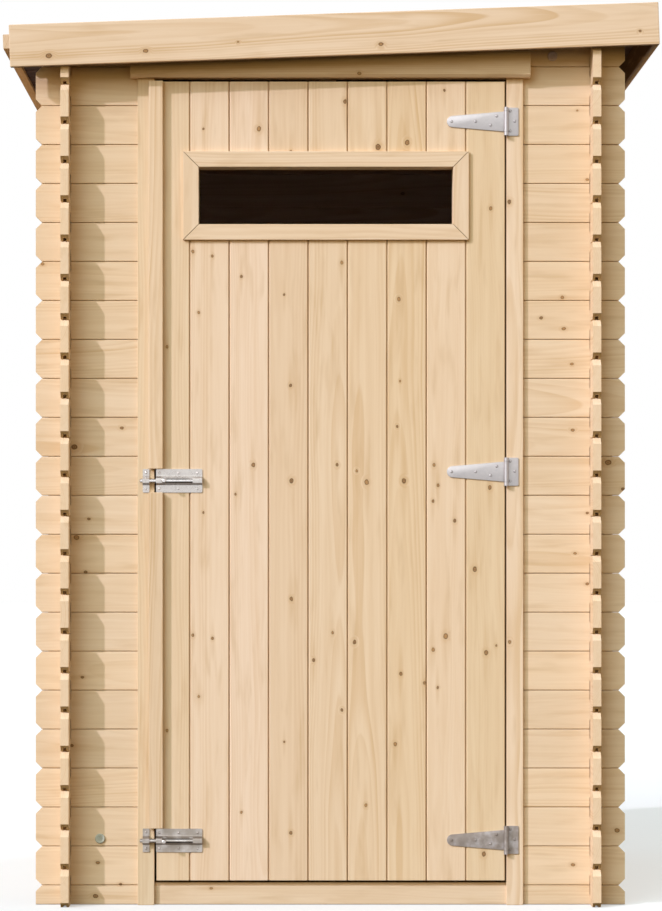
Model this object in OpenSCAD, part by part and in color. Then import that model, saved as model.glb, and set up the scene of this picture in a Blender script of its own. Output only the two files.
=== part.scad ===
// Wooden garden shed of interlocking tongue-and-groove boards.
// Its front faces -Y, its left is -X, and its origin is the middle of its footprint on the ground.
// Lengths are in millimetres and angles in degrees.

/* [Walls] */
// Width over the outer faces of the side walls
wall_w = 1183; // [1100:1:1300]
// Depth over the outer faces of the front and back walls
wall_d = 1183; // [1100:1:1600]
// Thickness of a wall board
board_t = 18; // [16:1:22]
// Height that one wall board covers
board_cover = 86; // [80:1:90]
// How far the log ends run past the corner
log_run = 58.5; // [50:0.5:70]
// Chamfer on each corner of a log end
log_chamfer = 14; // [8:1:18]

/* [Roof] */
// Height of the roof deck's underside in the middle of the shed
roof_mid_h = 1912; // [1900:0.5:1925]
// Slope of the roof, rising to the right
roof_slope = 2; // [1:0.01:3]
// Half of the whole roof's width
roof_half_w = 717.5; // [700:0.5:740]
// Thickness of the roof deck
deck_t = 18; // [15:1:20]
// Thickness of the roofing felt
felt_t = 2.5; // [1:0.5:4]
// Height of the fascia boards
fascia_h = 92; // [80:1:110]
// Thickness of the fascia boards
fascia_t = 16; // [14:1:20]
// Height of the fascia's top edge over the deck's underside
fascia_rise = 41; // [30:1:50]
// Width of the eaves batten on the low side
batten_w = 18; // [15:1:20]
// Height of the eaves batten
batten_h = 32; // [28:1:40]
// Width of the purlin under the middle of the deck
purlin_w = 34; // [28:1:45]
// Height of the purlin
purlin_h = 58; // [50:1:65]

/* [Doorway] */
// Clear width between the jambs
doorway_w = 776; // [770:1:780]
// Height of the lintel's underside over the ground
doorway_h = 1822; // [1818:1:1830]
// Width of a jamb
jamb_w = 37; // [34:1:44]
// How far a jamb stands out of the wall, outside and inside
jamb_proud = 9.5; // [6:0.5:10]
// Depth of the groove in a jamb that holds the board ends
jamb_groove = 14; // [10:1:16]
// Length of the lintel board
lintel_l = 880; // [860:1:900]
// Height of the lintel board
lintel_h = 58; // [50:1:62]
// Thickness of the lintel board
lintel_t = 27; // [20:1:30]

/* [Floor] */
// Thickness of the floor boards
floor_t = 16; // [14:1:18]
// Height of the bearers under the floor
bearer_h = 30; // [25:1:30]
// Width of a bearer
bearer_w = 45; // [35:1:60]

/* [Door] */
// Thickness of the door boards
door_t = 18; // [16:1:22]
// How far the door's face stands in front of the wall's
door_proud = 12.5; // [12:0.5:14]
// Gap between the door and the jamb on the bolt side
bolt_side_gap = 5; // [4:0.5:6]
// Gap between the door and the jamb on the hinge side
hinge_side_gap = 3; // [3:0.5:5]
// Height of the door's bottom edge over the ground
door_bottom = 55; // [54:1:58]
// Gap over the door
door_top_gap = 8; // [5:1:10]
// Height of a ledge behind the door boards
ledge_h = 90; // [70:1:100]
// Thickness of a ledge
ledge_t = 20; // [16:1:24]
// Width of the cover strip
strip_w = 31; // [26:1:36]
// Thickness of the cover strip
strip_t = 15; // [10:1:18]

/* [Window] */
// Width of the window opening
window_w = 560; // [400:1:570]
// Height of the window opening
window_h = 126; // [100:1:130]
// Sideways offset of the window from the doorway's middle
window_x = -10; // [-20:1:20]
// Height of the window's middle over the ground
window_z = 1562.5; // [1550:0.5:1570]
// Width of the mitred trims and of the frame behind the boards
trim_w = 34.5; // [25:0.5:36]
// Thickness of the mitred trims
trim_t = 8; // [5:1:12]
// Depth of the frame behind the boards
inner_frame_t = 28; // [20:1:32]
// Thickness of the glass
glass_t = 3; // [3:1:4]

/* [Hardware] */
// Length of a hinge strap from the pin to the round tip
strap_l = 130; // [110:1:160]
// Height of a strap at the pin
strap_root_h = 45; // [36:1:46]
// Height of a strap at its round tip
strap_tip_h = 25; // [16:1:30]
// Height of a hinge leaf on the jamb
leaf_h = 62; // [60:1:70]
// Thickness of the hinge plates
hinge_plate_t = 2.5; // [2:0.5:3]
// Width of a bolt's plate
bolt_plate_w = 102; // [96:1:106]
// Height of a bolt's plate and of its keeper
bolt_plate_h = 52; // [44:1:52]
// Diameter of a bolt's rod
bolt_rod_d = 8; // [7:0.5:8]
// Diameter of a vent cap
vent_d = 22; // [20:1:28]

/* [Hidden] */
$fn = 48;

// Slack added where a cutting shape runs past the face that it cuts
over = 1;

// Walls
wall_x = wall_w / 2;
wall_y = wall_d / 2;
log_x = wall_x + log_run;
log_y = wall_y + log_run;
half_board = board_cover / 2;
board_rows = floor((roof_mid_h + wall_x * tan(roof_slope)) / board_cover);
blank_h = 2100;
vent_hole_d = 17;
vent_spigot_d = 16;
vent_bore_d = 10;
vent_cap_t = 4;
lower_vent = [-508, 146];
upper_vent = [490, 1872];

// Roof, in its own sloping frame: x runs up the slope, z = 0 is the deck's underside
slope_s = sin(roof_slope);
slope_c = cos(roof_slope);
fascia_bottom = fascia_rise - fascia_h;
batten_bottom = -9;
batten_top = batten_bottom + batten_h;
roof_left = -(roof_half_w - batten_top * slope_s) / slope_c;
roof_right = (roof_half_w + fascia_bottom * slope_s) / slope_c;
deck_gap = 0.5;
deck_left = roof_left + batten_w + deck_gap;
right_fascia_x = roof_right - fascia_t;
deck_right = right_fascia_x - deck_gap;
fascia_left = -702;

// Doorway and door
jamb_in = doorway_w / 2;
jamb_out = jamb_in + jamb_w;
groove_x = jamb_out - jamb_groove;
jamb_face_y = -wall_y - jamb_proud;
sill_tongue_t = 6;
sill_tongue_h = 6;
floor_gap = 2;
bearer_y = 500;
door_left = -jamb_in + bolt_side_gap;
door_right = jamb_in - hinge_side_gap;
door_top = doorway_h - door_top_gap;
door_face_y = -wall_y - door_proud;
door_back_y = door_face_y + door_t;
ledge_inset = 20;
strip_left = -399.7;
window_rebate = 7;
glass_back_y = door_back_y + inner_frame_t;

// Hardware
hinge_z = [1726, 955, 144];
pin_x = jamb_in - hinge_side_gap / 2;
knuckle_d = 10;
pin_d = 5;
pin_bore_d = 5.4;
pin_y = door_face_y - knuckle_d / 2 - 0.5;
knuckle_gap = 0.5;
leaf_w = 25;
bolt_z = [935, 143];
bolt_left = -384;
bolt_plate_t = 2;
bolt_axis_y = door_face_y - 6.5;
housing_root_h = 20;
housing_shoulder_h = 15;
housing_top_h = 9;
housing_shoulder = 3;
housing_over_axis = 6;
housing_bore_d = 9;
slot_left = -370;
slot_l = 67;
slot_h = 8;
slot_notch = [9, 4];
knob_x = -366;
knob_stem_d = 6;
knob_d = 10;
knob_l = 8;
knob_reach = 27.5;
rod_tip_x = -420;
rod_l = 124;
keeper_w = 15;
keeper_left = -413.5;
keeper_bore_d = 9.5;

// ---- Shared shapes ----

// Heights of the joints between boards: odd walls start with a half board
function joint_heights(first) = [for (k = [0 : board_rows]) first + k * board_cover];

// Edge of a wall's end: a V-notch at each joint, going up
function notched_edge(tip, inward, joints) = [
    for (z = joints, p = [[tip, z - log_chamfer], [tip + inward * log_chamfer, z], [tip, z + log_chamfer]])
        if (p[1] >= 0) p
];

function reversed(list) = [for (i = [len(list) - 1 : -1 : 0]) list[i]];

// Upright wall blank in the XZ plane, its front face at y = 0, notched at both ends
module notched_blank(half_l, first) {
    joints = joint_heights(first);
    foot = first > 0 ? [[half_l, 0]] : [];
    right_edge = concat(foot, notched_edge(half_l, -1, joints), [[half_l, blank_h]]);
    left_edge = [for (p = reversed(right_edge)) [-p[0], p[1]]];
    translate([0, board_t, 0]) rotate([90, 0, 0])
        linear_extrude(board_t) polygon(concat(right_edge, left_edge));
}

// The slots at one crossing that let the other wall's boards through
module crossing_slots(corner_x, first) {
    for (k = [0 : board_rows])
        translate([corner_x, -over, first + k * board_cover - half_board / 2])
            cube([board_t, board_t + 2 * over, half_board]);
}

// The sloping frame of the roof
module on_roof() {
    translate([0, 0, roof_mid_h]) rotate([0, -roof_slope, 0]) children();
}

// Everything above the deck's underside, to cut wall tops
module above_roof() {
    on_roof() translate([-1000, -1000, 0]) cube([2000, 2000, 500]);
}

// Whole front or back wall, its front face at y = 0: it starts with a half board
module gable_wall() {
    difference() {
        notched_blank(log_x, half_board);
        crossing_slots(-wall_x, half_board);
        crossing_slots(wall_x - board_t, half_board);
        translate([0, wall_y, 0]) above_roof();
    }
}

// Slot in the top of a gable wall for the purlin, down to the purlin's underside
module purlin_slot() {
    translate([-purlin_w / 2, -over, roof_mid_h - purlin_h])
        cube([purlin_w, board_t + 2 * over, purlin_h + 100]);
}

// Whole front wall in place, cut to the span from x0 to x1
module front_wall_span(x0, x1) {
    translate([0, -wall_y, 0]) intersection() {
        gable_wall();
        translate([x0, -over, 0]) cube([x1 - x0, board_t + 2 * over, blank_h]);
    }
}

// Side wall that starts with a full board, its outer face at x = 0, running along Y
module side_wall_blank() {
    rotate([0, 0, 90]) translate([0, -board_t, 0]) difference() {
        notched_blank(log_y, 0);
        crossing_slots(-wall_y, 0);
        crossing_slots(wall_y - board_t, 0);
    }
}

// Hole through the front wall for a vent, and the vent that fits it
module vent_hole(at) {
    translate([at[0], -wall_y - over, at[1]]) rotate([-90, 0, 0])
        cylinder(d = vent_hole_d, h = board_t + 2 * over);
}

module vent_cap(at) {
    color("gray") translate([at[0], -wall_y, at[1]]) rotate([90, 0, 0]) difference() {
        union() {
            cylinder(d = vent_d, h = vent_cap_t);
            translate([0, 0, -board_t]) cylinder(d = vent_spigot_d, h = board_t + over);
        }
        translate([0, 0, -board_t - over]) cylinder(d = vent_bore_d, h = board_t + 2 * over);
    }
}

// ---- Walls ----

module front_wall_left() {
    color("burlywood") difference() {
        front_wall_span(-log_x, -groove_x);
        vent_hole(lower_vent);
    }
}

module front_wall_right() {
    color("burlywood") difference() {
        front_wall_span(groove_x, log_x);
        vent_hole(upper_vent);
    }
}

module front_wall_header() {
    color("burlywood") difference() {
        front_wall_span(-groove_x, groove_x);
        translate([-log_x, -wall_y - over, -over])
            cube([2 * log_x, board_t + 2 * over, doorway_h + over]);
        translate([0, -wall_y, 0]) purlin_slot();
    }
}

// Lowest half board, which runs on under the door, with its tongue
module door_sill() {
    color("burlywood") {
        translate([-jamb_in, -wall_y, 0]) cube([doorway_w, board_t, half_board]);
        translate([-jamb_in, -wall_y + (board_t - sill_tongue_t) / 2, half_board])
            cube([doorway_w, sill_tongue_t, sill_tongue_h]);
    }
}

module back_wall() {
    color("burlywood") translate([0, wall_y - board_t, 0]) difference() {
        gable_wall();
        purlin_slot();
    }
}

module left_wall() {
    color("burlywood") difference() {
        translate([-wall_x + board_t, 0, 0]) mirror([1, 0, 0]) side_wall_blank();
        above_roof();
    }
}

module right_wall() {
    color("burlywood") difference() {
        translate([wall_x - board_t, 0, 0]) side_wall_blank();
        above_roof();
    }
}

// ---- Doorway ----

// Right jamb: a post with a groove that takes the ends of the wall boards
module jamb() {
    color("wheat") difference() {
        translate([jamb_in, jamb_face_y, 0])
            cube([jamb_w, board_t + 2 * jamb_proud, doorway_h]);
        translate([groove_x, -wall_y, -over])
            cube([jamb_groove + over, board_t, doorway_h + 2 * over]);
    }
}

module left_door_jamb() { mirror([1, 0, 0]) jamb(); }

module right_door_jamb() { jamb(); }

module door_lintel() {
    color("wheat") translate([-lintel_l / 2, -wall_y - lintel_t, doorway_h])
        cube([lintel_l, lintel_t, lintel_h]);
}

// ---- Floor ----

module floor_boards() {
    floor_x = wall_x - board_t - floor_gap;
    floor_y = wall_y - board_t - floor_gap;
    notch_y = jamb_face_y + board_t + 2 * jamb_proud + 1;
    color("tan") difference() {
        translate([-floor_x, -floor_y, bearer_h]) cube([2 * floor_x, 2 * floor_y, floor_t]);
        for (x = [-jamb_out - 1, jamb_in - 1])
            translate([x, -wall_y, 0]) cube([jamb_w + 2, notch_y + wall_y, 100]);
    }
}

module floor_bearers() {
    bearer_x = wall_x - board_t - floor_gap;
    color("peru") for (y = [-bearer_y, 0, bearer_y])
        translate([-bearer_x, y - bearer_w / 2, 0]) cube([2 * bearer_x, bearer_w, bearer_h]);
}

// ---- Roof ----

module roof_deck() {
    color("tan") on_roof() translate([deck_left, -log_y, 0])
        cube([deck_right - deck_left, 2 * log_y, deck_t]);
}

module roof_felt() {
    color("dimgray") on_roof() translate([deck_left, -log_y, deck_t])
        cube([deck_right - deck_left, 2 * log_y, felt_t]);
}

module roof_purlin() {
    color("peru") difference() {
        translate([-purlin_w / 2, -wall_y, roof_mid_h - purlin_h])
            cube([purlin_w, wall_d, purlin_h + 20]);
        above_roof();
    }
}

// Fascia across the front, from the low side's end to the high side's
module fascia(y) {
    on_roof() translate([fascia_left, y, fascia_bottom])
        cube([roof_right - fascia_left, fascia_t, fascia_h]);
}

module front_fascia() { color("wheat") fascia(-log_y - fascia_t); }

module back_fascia() { color("wheat") fascia(log_y); }

module right_fascia() {
    color("wheat") on_roof() translate([right_fascia_x, -log_y, fascia_bottom])
        cube([fascia_t, 2 * log_y, fascia_h]);
}

module left_eaves_batten() {
    color("wheat") on_roof() translate([roof_left, -log_y, batten_bottom])
        cube([batten_w, 2 * log_y, batten_h]);
}

// ---- Small hardware on the walls ----

module lower_vent_cap() { vent_cap(lower_vent); }

module upper_vent_cap() { vent_cap(upper_vent); }

// Jamb leaf: a plate on the jamb, two knuckles and the pin
module hinge_leaf(z) {
    knuckle_h = (leaf_h - strap_root_h) / 2 - knuckle_gap;
    color("silver") translate([pin_x, 0, z - leaf_h / 2]) {
        translate([knuckle_d / 2 - 2, jamb_face_y - hinge_plate_t, 0])
            cube([leaf_w, hinge_plate_t, leaf_h]);
        for (up = [0, leaf_h - knuckle_h]) translate([0, 0, up]) {
            translate([0, pin_y, 0]) cylinder(d = knuckle_d, h = knuckle_h);
            translate([knuckle_d / 2 - 2, pin_y, 0])
                cube([2, jamb_face_y - pin_y, knuckle_h]);
        }
        translate([0, pin_y, 0]) cylinder(d = pin_d, h = leaf_h);
    }
}

module top_hinge_leaf() { hinge_leaf(hinge_z[0]); }

module middle_hinge_leaf() { hinge_leaf(hinge_z[1]); }

module bottom_hinge_leaf() { hinge_leaf(hinge_z[2]); }

// Housing pressed out of a bolt's plate, l long, standing out from base_y
module bolt_housing(l, base_y, z) {
    proud = base_y - bolt_axis_y + housing_over_axis;
    translate([0, base_y, z]) rotate([90, 0, 90]) linear_extrude(l) polygon([
        [0, -housing_root_h / 2], [0, housing_root_h / 2],
        [housing_shoulder - proud, housing_shoulder_h / 2], [-proud, housing_top_h / 2],
        [-proud, -housing_top_h / 2], [housing_shoulder - proud, -housing_shoulder_h / 2]]);
}

// Keeper: a plate on the jamb with a raised housing that the rod runs through
module bolt_keeper(z) {
    color("gainsboro") translate([keeper_left, 0, 0]) difference() {
        union() {
            translate([0, jamb_face_y - bolt_plate_t, z - bolt_plate_h / 2])
                cube([keeper_w, bolt_plate_t, bolt_plate_h]);
            bolt_housing(keeper_w, jamb_face_y, z);
        }
        translate([-over, bolt_axis_y, z]) rotate([0, 90, 0])
            cylinder(d = keeper_bore_d, h = keeper_w + 2 * over);
    }
}

module middle_bolt_keeper() { bolt_keeper(bolt_z[0]); }

module bottom_bolt_keeper() { bolt_keeper(bolt_z[1]); }

// ---- Door ----

module window_hole(grow, y0, y1) {
    translate([window_x - window_w / 2 - grow, y0, window_z - window_h / 2 - grow])
        cube([window_w + 2 * grow, y1 - y0, window_h + 2 * grow]);
}

module door_boards() {
    color("burlywood") difference() {
        translate([door_left, door_face_y, door_bottom])
            cube([door_right - door_left, door_t, door_top - door_bottom]);
        window_hole(0, door_face_y - over, door_back_y + over);
    }
}

// Three ledges behind the boards, level with the hinges
module door_ledges() {
    color("wheat") for (z = hinge_z)
        translate([door_left + ledge_inset, door_back_y, z - ledge_h / 2])
            cube([door_right - door_left - 2 * ledge_inset, ledge_t, ledge_h]);
}

module window_inner_frame() {
    color("peru") difference() {
        window_hole(trim_w, door_back_y, glass_back_y);
        window_hole(0, door_back_y - over, glass_back_y + over);
        window_hole(window_rebate, glass_back_y - glass_t, glass_back_y + over);
    }
}

module window_glass() {
    color([0.2, 0.2, 0.22, 0.6]) window_hole(window_rebate, glass_back_y - glass_t, glass_back_y);
}

// One mitred trim, long edge inward_l, lying along X with its inner edge on z = 0
module mitred_trim(inner_l) {
    rotate([90, 0, 0]) linear_extrude(trim_t)
        polygon([[-inner_l / 2, 0], [inner_l / 2, 0],
                 [inner_l / 2 + trim_w, trim_w], [-inner_l / 2 - trim_w, trim_w]]);
}

module on_window(dx, dz, turn) {
    color("wheat") translate([window_x + dx, door_face_y, window_z + dz])
        rotate([0, turn, 0]) children();
}

module window_trim_top() { on_window(0, window_h / 2, 0) mitred_trim(window_w); }

module window_trim_bottom() { on_window(0, -window_h / 2, 180) mitred_trim(window_w); }

module window_trim_left() { on_window(-window_w / 2, 0, -90) mitred_trim(window_h); }

module window_trim_right() { on_window(window_w / 2, 0, 90) mitred_trim(window_h); }

// Cover strip over the gap between the door and the left jamb
module cover_strip(z0, z1) {
    color("wheat") translate([strip_left, door_face_y - strip_t, z0])
        cube([strip_w, strip_t, z1 - z0]);
}

module upper_cover_strip() { cover_strip(bolt_z[0] + bolt_plate_h / 2, door_top); }

module lower_cover_strip() {
    cover_strip(bolt_z[1] + bolt_plate_h / 2 + 1, bolt_z[0] - bolt_plate_h / 2);
}

// Hinge strap: a tapering plate with a round tip, and the middle knuckle round the pin
module hinge_strap(z) {
    plate_l = strap_l - strap_tip_h / 2;
    knuckle_h = strap_root_h;
    color("silver") translate([pin_x, 0, z]) difference() {
        union() {
            translate([0, door_face_y, 0]) rotate([90, 0, 0]) linear_extrude(hinge_plate_t) union() {
                polygon([[0, -strap_root_h / 2], [0, strap_root_h / 2],
                         [-plate_l, strap_tip_h / 2], [-plate_l, -strap_tip_h / 2]]);
                translate([-plate_l, 0]) circle(d = strap_tip_h);
            }
            translate([0, pin_y, -knuckle_h / 2]) cylinder(d = knuckle_d, h = knuckle_h);
        }
        translate([0, pin_y, -knuckle_h / 2 - over]) cylinder(d = pin_bore_d, h = knuckle_h + 2 * over);
    }
}

module top_hinge_strap() { hinge_strap(hinge_z[0]); }

module middle_hinge_strap() { hinge_strap(hinge_z[1]); }

module bottom_hinge_strap() { hinge_strap(hinge_z[2]); }

// ---- Bolts ----

// Slot along a housing for the knob, with a notch at each end that it turns up into
module knob_slot(z) {
    translate([slot_left, bolt_axis_y - 2 * housing_over_axis, z - slot_h / 2])
        cube([slot_l, 2 * housing_over_axis, slot_h]);
    for (dx = [0, slot_l - slot_notch[0]])
        translate([slot_left + dx, bolt_axis_y - 2 * housing_over_axis, z])
            cube([slot_notch[0], 2 * housing_over_axis, slot_h / 2 + slot_notch[1]]);
}

// Bolt plate with its housing, bored for the rod and slotted for the knob
module bolt_plate(z) {
    color("gainsboro") difference() {
        union() {
            translate([bolt_left, door_face_y - bolt_plate_t, z - bolt_plate_h / 2])
                cube([bolt_plate_w, bolt_plate_t, bolt_plate_h]);
            translate([bolt_left, 0, 0]) bolt_housing(bolt_plate_w, door_face_y, z);
        }
        translate([bolt_left - over, bolt_axis_y, z]) rotate([0, 90, 0])
            cylinder(d = housing_bore_d, h = bolt_plate_w + 2 * over);
        knob_slot(z);
    }
}

module middle_bolt_plate() { bolt_plate(bolt_z[0]); }

module bottom_bolt_plate() { bolt_plate(bolt_z[1]); }

// Bolt rod with its knob
module bolt_rod(z) {
    color("gainsboro") translate([0, bolt_axis_y, z]) {
        translate([rod_tip_x, 0, 0]) rotate([0, 90, 0]) cylinder(d = bolt_rod_d, h = rod_l);
        translate([knob_x, 0, 0]) rotate([90, 0, 0]) {
            cylinder(d = knob_stem_d, h = knob_reach - knob_l / 2);
            translate([0, 0, knob_reach - knob_l]) cylinder(d = knob_d, h = knob_l);
        }
    }
}

module middle_bolt_rod() { bolt_rod(bolt_z[0]); }

module bottom_bolt_rod() { bolt_rod(bolt_z[1]); }

// ---- Drawing ----

front_wall_left();
front_wall_right();
front_wall_header();
door_sill();
back_wall();
left_wall();
right_wall();
left_door_jamb();
right_door_jamb();
door_lintel();
floor_boards();
floor_bearers();
roof_deck();
roof_felt();
roof_purlin();
front_fascia();
back_fascia();
right_fascia();
left_eaves_batten();
lower_vent_cap();
upper_vent_cap();
top_hinge_leaf();
middle_hinge_leaf();
bottom_hinge_leaf();
middle_bolt_keeper();
bottom_bolt_keeper();
door_boards();
door_ledges();
window_inner_frame();
window_glass();
window_trim_top();
window_trim_bottom();
window_trim_left();
window_trim_right();
upper_cover_strip();
lower_cover_strip();
top_hinge_strap();
middle_hinge_strap();
bottom_hinge_strap();
middle_bolt_plate();
bottom_bolt_plate();
middle_bolt_rod();
bottom_bolt_rod();
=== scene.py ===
# %% [markdown]
# # A wooden garden shed, board by board
#
# This lesson dresses the bare frame of a small garden shed. The frame already gives every part its
# real place and size, so nothing is measured again here: each piece reads its place from the frame.
# The shed is built the log-cabin way, from tongue-and-groove boards that cross at the corners.

# %% Load the frame
import math
from contextlib import contextmanager

import bmesh
import bpy
import numpy as np
from mathutils import Matrix, Vector


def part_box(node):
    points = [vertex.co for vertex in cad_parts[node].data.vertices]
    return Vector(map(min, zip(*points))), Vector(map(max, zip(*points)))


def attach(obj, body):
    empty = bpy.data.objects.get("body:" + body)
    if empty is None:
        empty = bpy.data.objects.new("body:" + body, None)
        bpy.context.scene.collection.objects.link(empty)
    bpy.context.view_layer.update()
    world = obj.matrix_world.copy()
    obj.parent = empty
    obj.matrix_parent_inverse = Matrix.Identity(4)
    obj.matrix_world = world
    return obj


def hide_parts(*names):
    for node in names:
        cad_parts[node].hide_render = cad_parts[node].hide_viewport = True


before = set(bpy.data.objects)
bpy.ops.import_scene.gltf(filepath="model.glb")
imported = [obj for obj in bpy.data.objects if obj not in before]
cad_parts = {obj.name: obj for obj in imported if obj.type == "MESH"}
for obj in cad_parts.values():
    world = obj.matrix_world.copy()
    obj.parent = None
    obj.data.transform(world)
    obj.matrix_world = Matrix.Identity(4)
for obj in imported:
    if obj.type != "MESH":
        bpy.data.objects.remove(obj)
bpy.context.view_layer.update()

MM = 0.001

# %% [markdown]
# ## The sizes that the frame gives
#
# The faces of the walls, the tips of the log ends and the slope of the roof all come from the boxes
# of the frame's own walls. The two side walls end under the roof deck, so the difference between
# their tops, over the distance between them, is the slope of the roof.

# %% Sizes from the frame
left_lo, left_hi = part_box("left_wall")
right_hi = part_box("right_wall")[1]
front_lo, front_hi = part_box("front_wall_left")
WALL_X = right_hi[0]
WALL_Y = -front_lo[1]
LOG_TIP = -front_lo[0]
BOARD_T = left_hi[0] - left_lo[0]
LOG_RUN = LOG_TIP - WALL_X
SLOPE = math.atan2(right_hi[2] - left_hi[2], right_hi[0] - left_hi[0])
DECK_MID_Z = left_hi[2] - left_hi[0] * math.tan(SLOPE)
print(f"walls {2 * WALL_X:.3f} m wide, boards {BOARD_T / MM:.1f} mm thick")
print(f"roof slope {math.degrees(SLOPE):.2f} degrees, deck {DECK_MID_Z:.4f} m up in the middle")

# %% [markdown]
# ## Camera
#
# The camera stands low and a little to the left, about six and a half metres from the front wall, and
# looks straight at it with a long lens. It isn't tilted, so upright lines stay upright: the lens is
# shifted instead, by shares of the sensor's width.

# %% Camera
CAMERA_X, DISTANCE, EYE_HEIGHT = -0.1085, 6.43, 0.769
LENS, SENSOR = 115.15, 36.0
SHIFT_RIGHT, SHIFT_UP = 0.0547, 0.1105

scene = bpy.context.scene
camera_data = bpy.data.cameras.new("camera")
camera_data.lens, camera_data.sensor_width = LENS, SENSOR
camera_data.shift_x, camera_data.shift_y = SHIFT_RIGHT, SHIFT_UP
camera = bpy.data.objects.new("camera", camera_data)
camera.location = (CAMERA_X, -WALL_Y - DISTANCE, EYE_HEIGHT)
camera.rotation_euler = (math.radians(90), 0, 0)
scene.collection.objects.link(camera)
scene.camera = camera
print("camera at", [round(v, 3) for v in camera.location], "lens", camera_data.lens)

# %% [markdown]
# ## Lamps
#
# Three lamps of the sun kind stand for studio lights. The key shines from high on the left in front,
# and draws the log ends' shadows across the walls. A very broad soft box stands lower beside it, so
# those shadows are deepest close to the log ends and fade towards their rims. A third, weak lamp
# shines from behind on the right, so that the far sides aren't dull when the shed is seen from there.

# %% Lamps
def sun_lamp(name, travel, energy, spread, color):
    """Light that travels along travel. spread is how broad its source looks, in degrees."""
    data = bpy.data.lights.new(name, "SUN")
    data.energy = energy
    data.angle = math.radians(spread)
    data.color = color
    lamp = bpy.data.objects.new(name, data)
    lamp.rotation_euler = Vector(travel).to_track_quat("-Z", "Y").to_euler()
    scene.collection.objects.link(lamp)
    return lamp


lamps = (
    sun_lamp("key", travel=(1.294, 1.0, -0.957), energy=1.78, spread=1.4, color=(1.0, 0.962, 1.145)),
    sun_lamp("soft_box", travel=(0.462, 0.711, -0.530), energy=1.50, spread=44.0, color=(0.87, 1.0, 1.0)),
    sun_lamp("rim", travel=(-1.0, -1.1, -0.9), energy=1.1, spread=40.0, color=(1.0, 1.0, 1.0)),
)
print("lamps:", [(lamp.name, lamp.data.energy) for lamp in lamps])

# %% [markdown]
# ## Short words for node trees
#
# Every finish below is a tree of nodes. This small helper adds a node, fills its sockets and wires
# them, so that each finish reads like a recipe.

# %% Node helper
class Tree:
    """Adds nodes to a tree. A socket's value may be a number, a tuple or another node's output."""

    def __init__(self, tree):
        self.tree = tree

    def put(self, socket, value):
        if isinstance(value, bpy.types.NodeSocket):
            self.tree.links.new(value, socket)
        else:
            socket.default_value = value

    def node(self, kind, values=(), **settings):
        made = self.tree.nodes.new(kind)
        for name, value in settings.items():
            setattr(made, name, value)
        for socket, value in dict(values).items():
            self.put(made.inputs[socket], value)
        return made

    def math(self, operation, a, b=0.0, c=0.0, clamp=False):
        values = {0: a, 1: b, 2: c}
        return self.node("ShaderNodeMath", values, operation=operation, use_clamp=clamp).outputs[0]

    def vector(self, operation, a, b=(0, 0, 0), scale=None):
        values = {0: a, 1: b}
        if scale is not None:
            values["Scale"] = scale
        made = self.node("ShaderNodeVectorMath", values, operation=operation)
        return made.outputs["Value" if operation in ("LENGTH", "DOT_PRODUCT") else "Vector"]

    def noise(self, at, scale, detail=2.0, roughness=0.5, dimensions="3D"):
        place = "W" if dimensions == "1D" else "Vector"
        values = {place: at, "Scale": scale, "Detail": detail, "Roughness": roughness}
        return self.node("ShaderNodeTexNoise", values, noise_dimensions=dimensions).outputs["Fac"]

    def cells(self, at, scale, output="Color"):
        return self.node("ShaderNodeTexVoronoi", {"Vector": at, "Scale": scale}).outputs[output]

    def split(self, vector):
        return self.node("ShaderNodeSeparateXYZ", {0: vector}).outputs

    def join(self, x, y, z):
        return self.node("ShaderNodeCombineXYZ", {0: x, 1: y, 2: z}).outputs[0]

    def ramp(self, value, low, high):
        """0 at low and 1 at high, and smooth between them. low may be the larger."""
        values = {0: value, 1: low, 2: high}
        return self.node("ShaderNodeMapRange", values, interpolation_type="SMOOTHSTEP").outputs[0]

    def mix(self, amount, a, b, blend="MIX"):
        made = self.node("ShaderNodeMix", data_type="RGBA", blend_type=blend)
        for socket, value in ((0, amount), (6, a), (7, b)):
            self.put(made.inputs[socket], value)
        return made.outputs[2]

    def bump(self, height, strength, distance):
        values = {"Strength": strength, "Distance": distance, "Height": height}
        return self.node("ShaderNodeBump", values).outputs[0]

    def place(self):
        return self.node("ShaderNodeTexCoord").outputs["Object"]


print("node helper ready")

# %% [markdown]
# ## White all round
#
# The world lights the shed softly. It is warm and bright near the ground, as light is that has bounced
# off other things, and cooler overhead. The camera, and clear reflections, see it as plain white. A
# Light Path node tells the two kinds of ray apart, so the white backdrop adds no light to the shed.

# %% World
WHITE = (1.0, 1.0, 1.0, 1.0)
LOW_LIGHT, HIGH_LIGHT = (1.02, 0.71, 0.27, 1.0), (0.45, 0.57, 0.63, 1.0)


def clear_view(t):
    """1 for what the camera sees, straight or in a reflection or through glass, and 0 for bounced light."""
    path = t.node("ShaderNodeLightPath").outputs
    clear = t.math("MAXIMUM", path["Is Glossy Ray"], path["Is Transmission Ray"])
    return t.math("MAXIMUM", path["Is Camera Ray"], clear)


world = bpy.data.worlds.new("studio")
world.use_nodes = True
world.node_tree.nodes.clear()
t = Tree(world.node_tree)
overhead = t.ramp(t.split(t.node("ShaderNodeTexCoord").outputs["Generated"])[2], 0.05, 0.65)
soft = t.mix(overhead, LOW_LIGHT, HIGH_LIGHT)
fill = t.node("ShaderNodeBackground", {"Color": soft, "Strength": 1.0})
white = t.node("ShaderNodeBackground", {"Color": WHITE, "Strength": 1.0})
both = t.node("ShaderNodeMixShader", {0: clear_view(t), 1: fill.outputs[0], 2: white.outputs[0]})
t.node("ShaderNodeOutputWorld", {"Surface": both.outputs[0]})
scene.world = world
scene.view_settings.view_transform = "Standard"
print("world fill", round(fill.inputs["Strength"].default_value, 2))

# %% [markdown]
# ## Starting a finish
#
# Colours are easiest to choose as screen colours from 0 to 255, but a shader wants linear ones, so a
# small function converts them. Each finish starts from a Principled shader.

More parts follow.
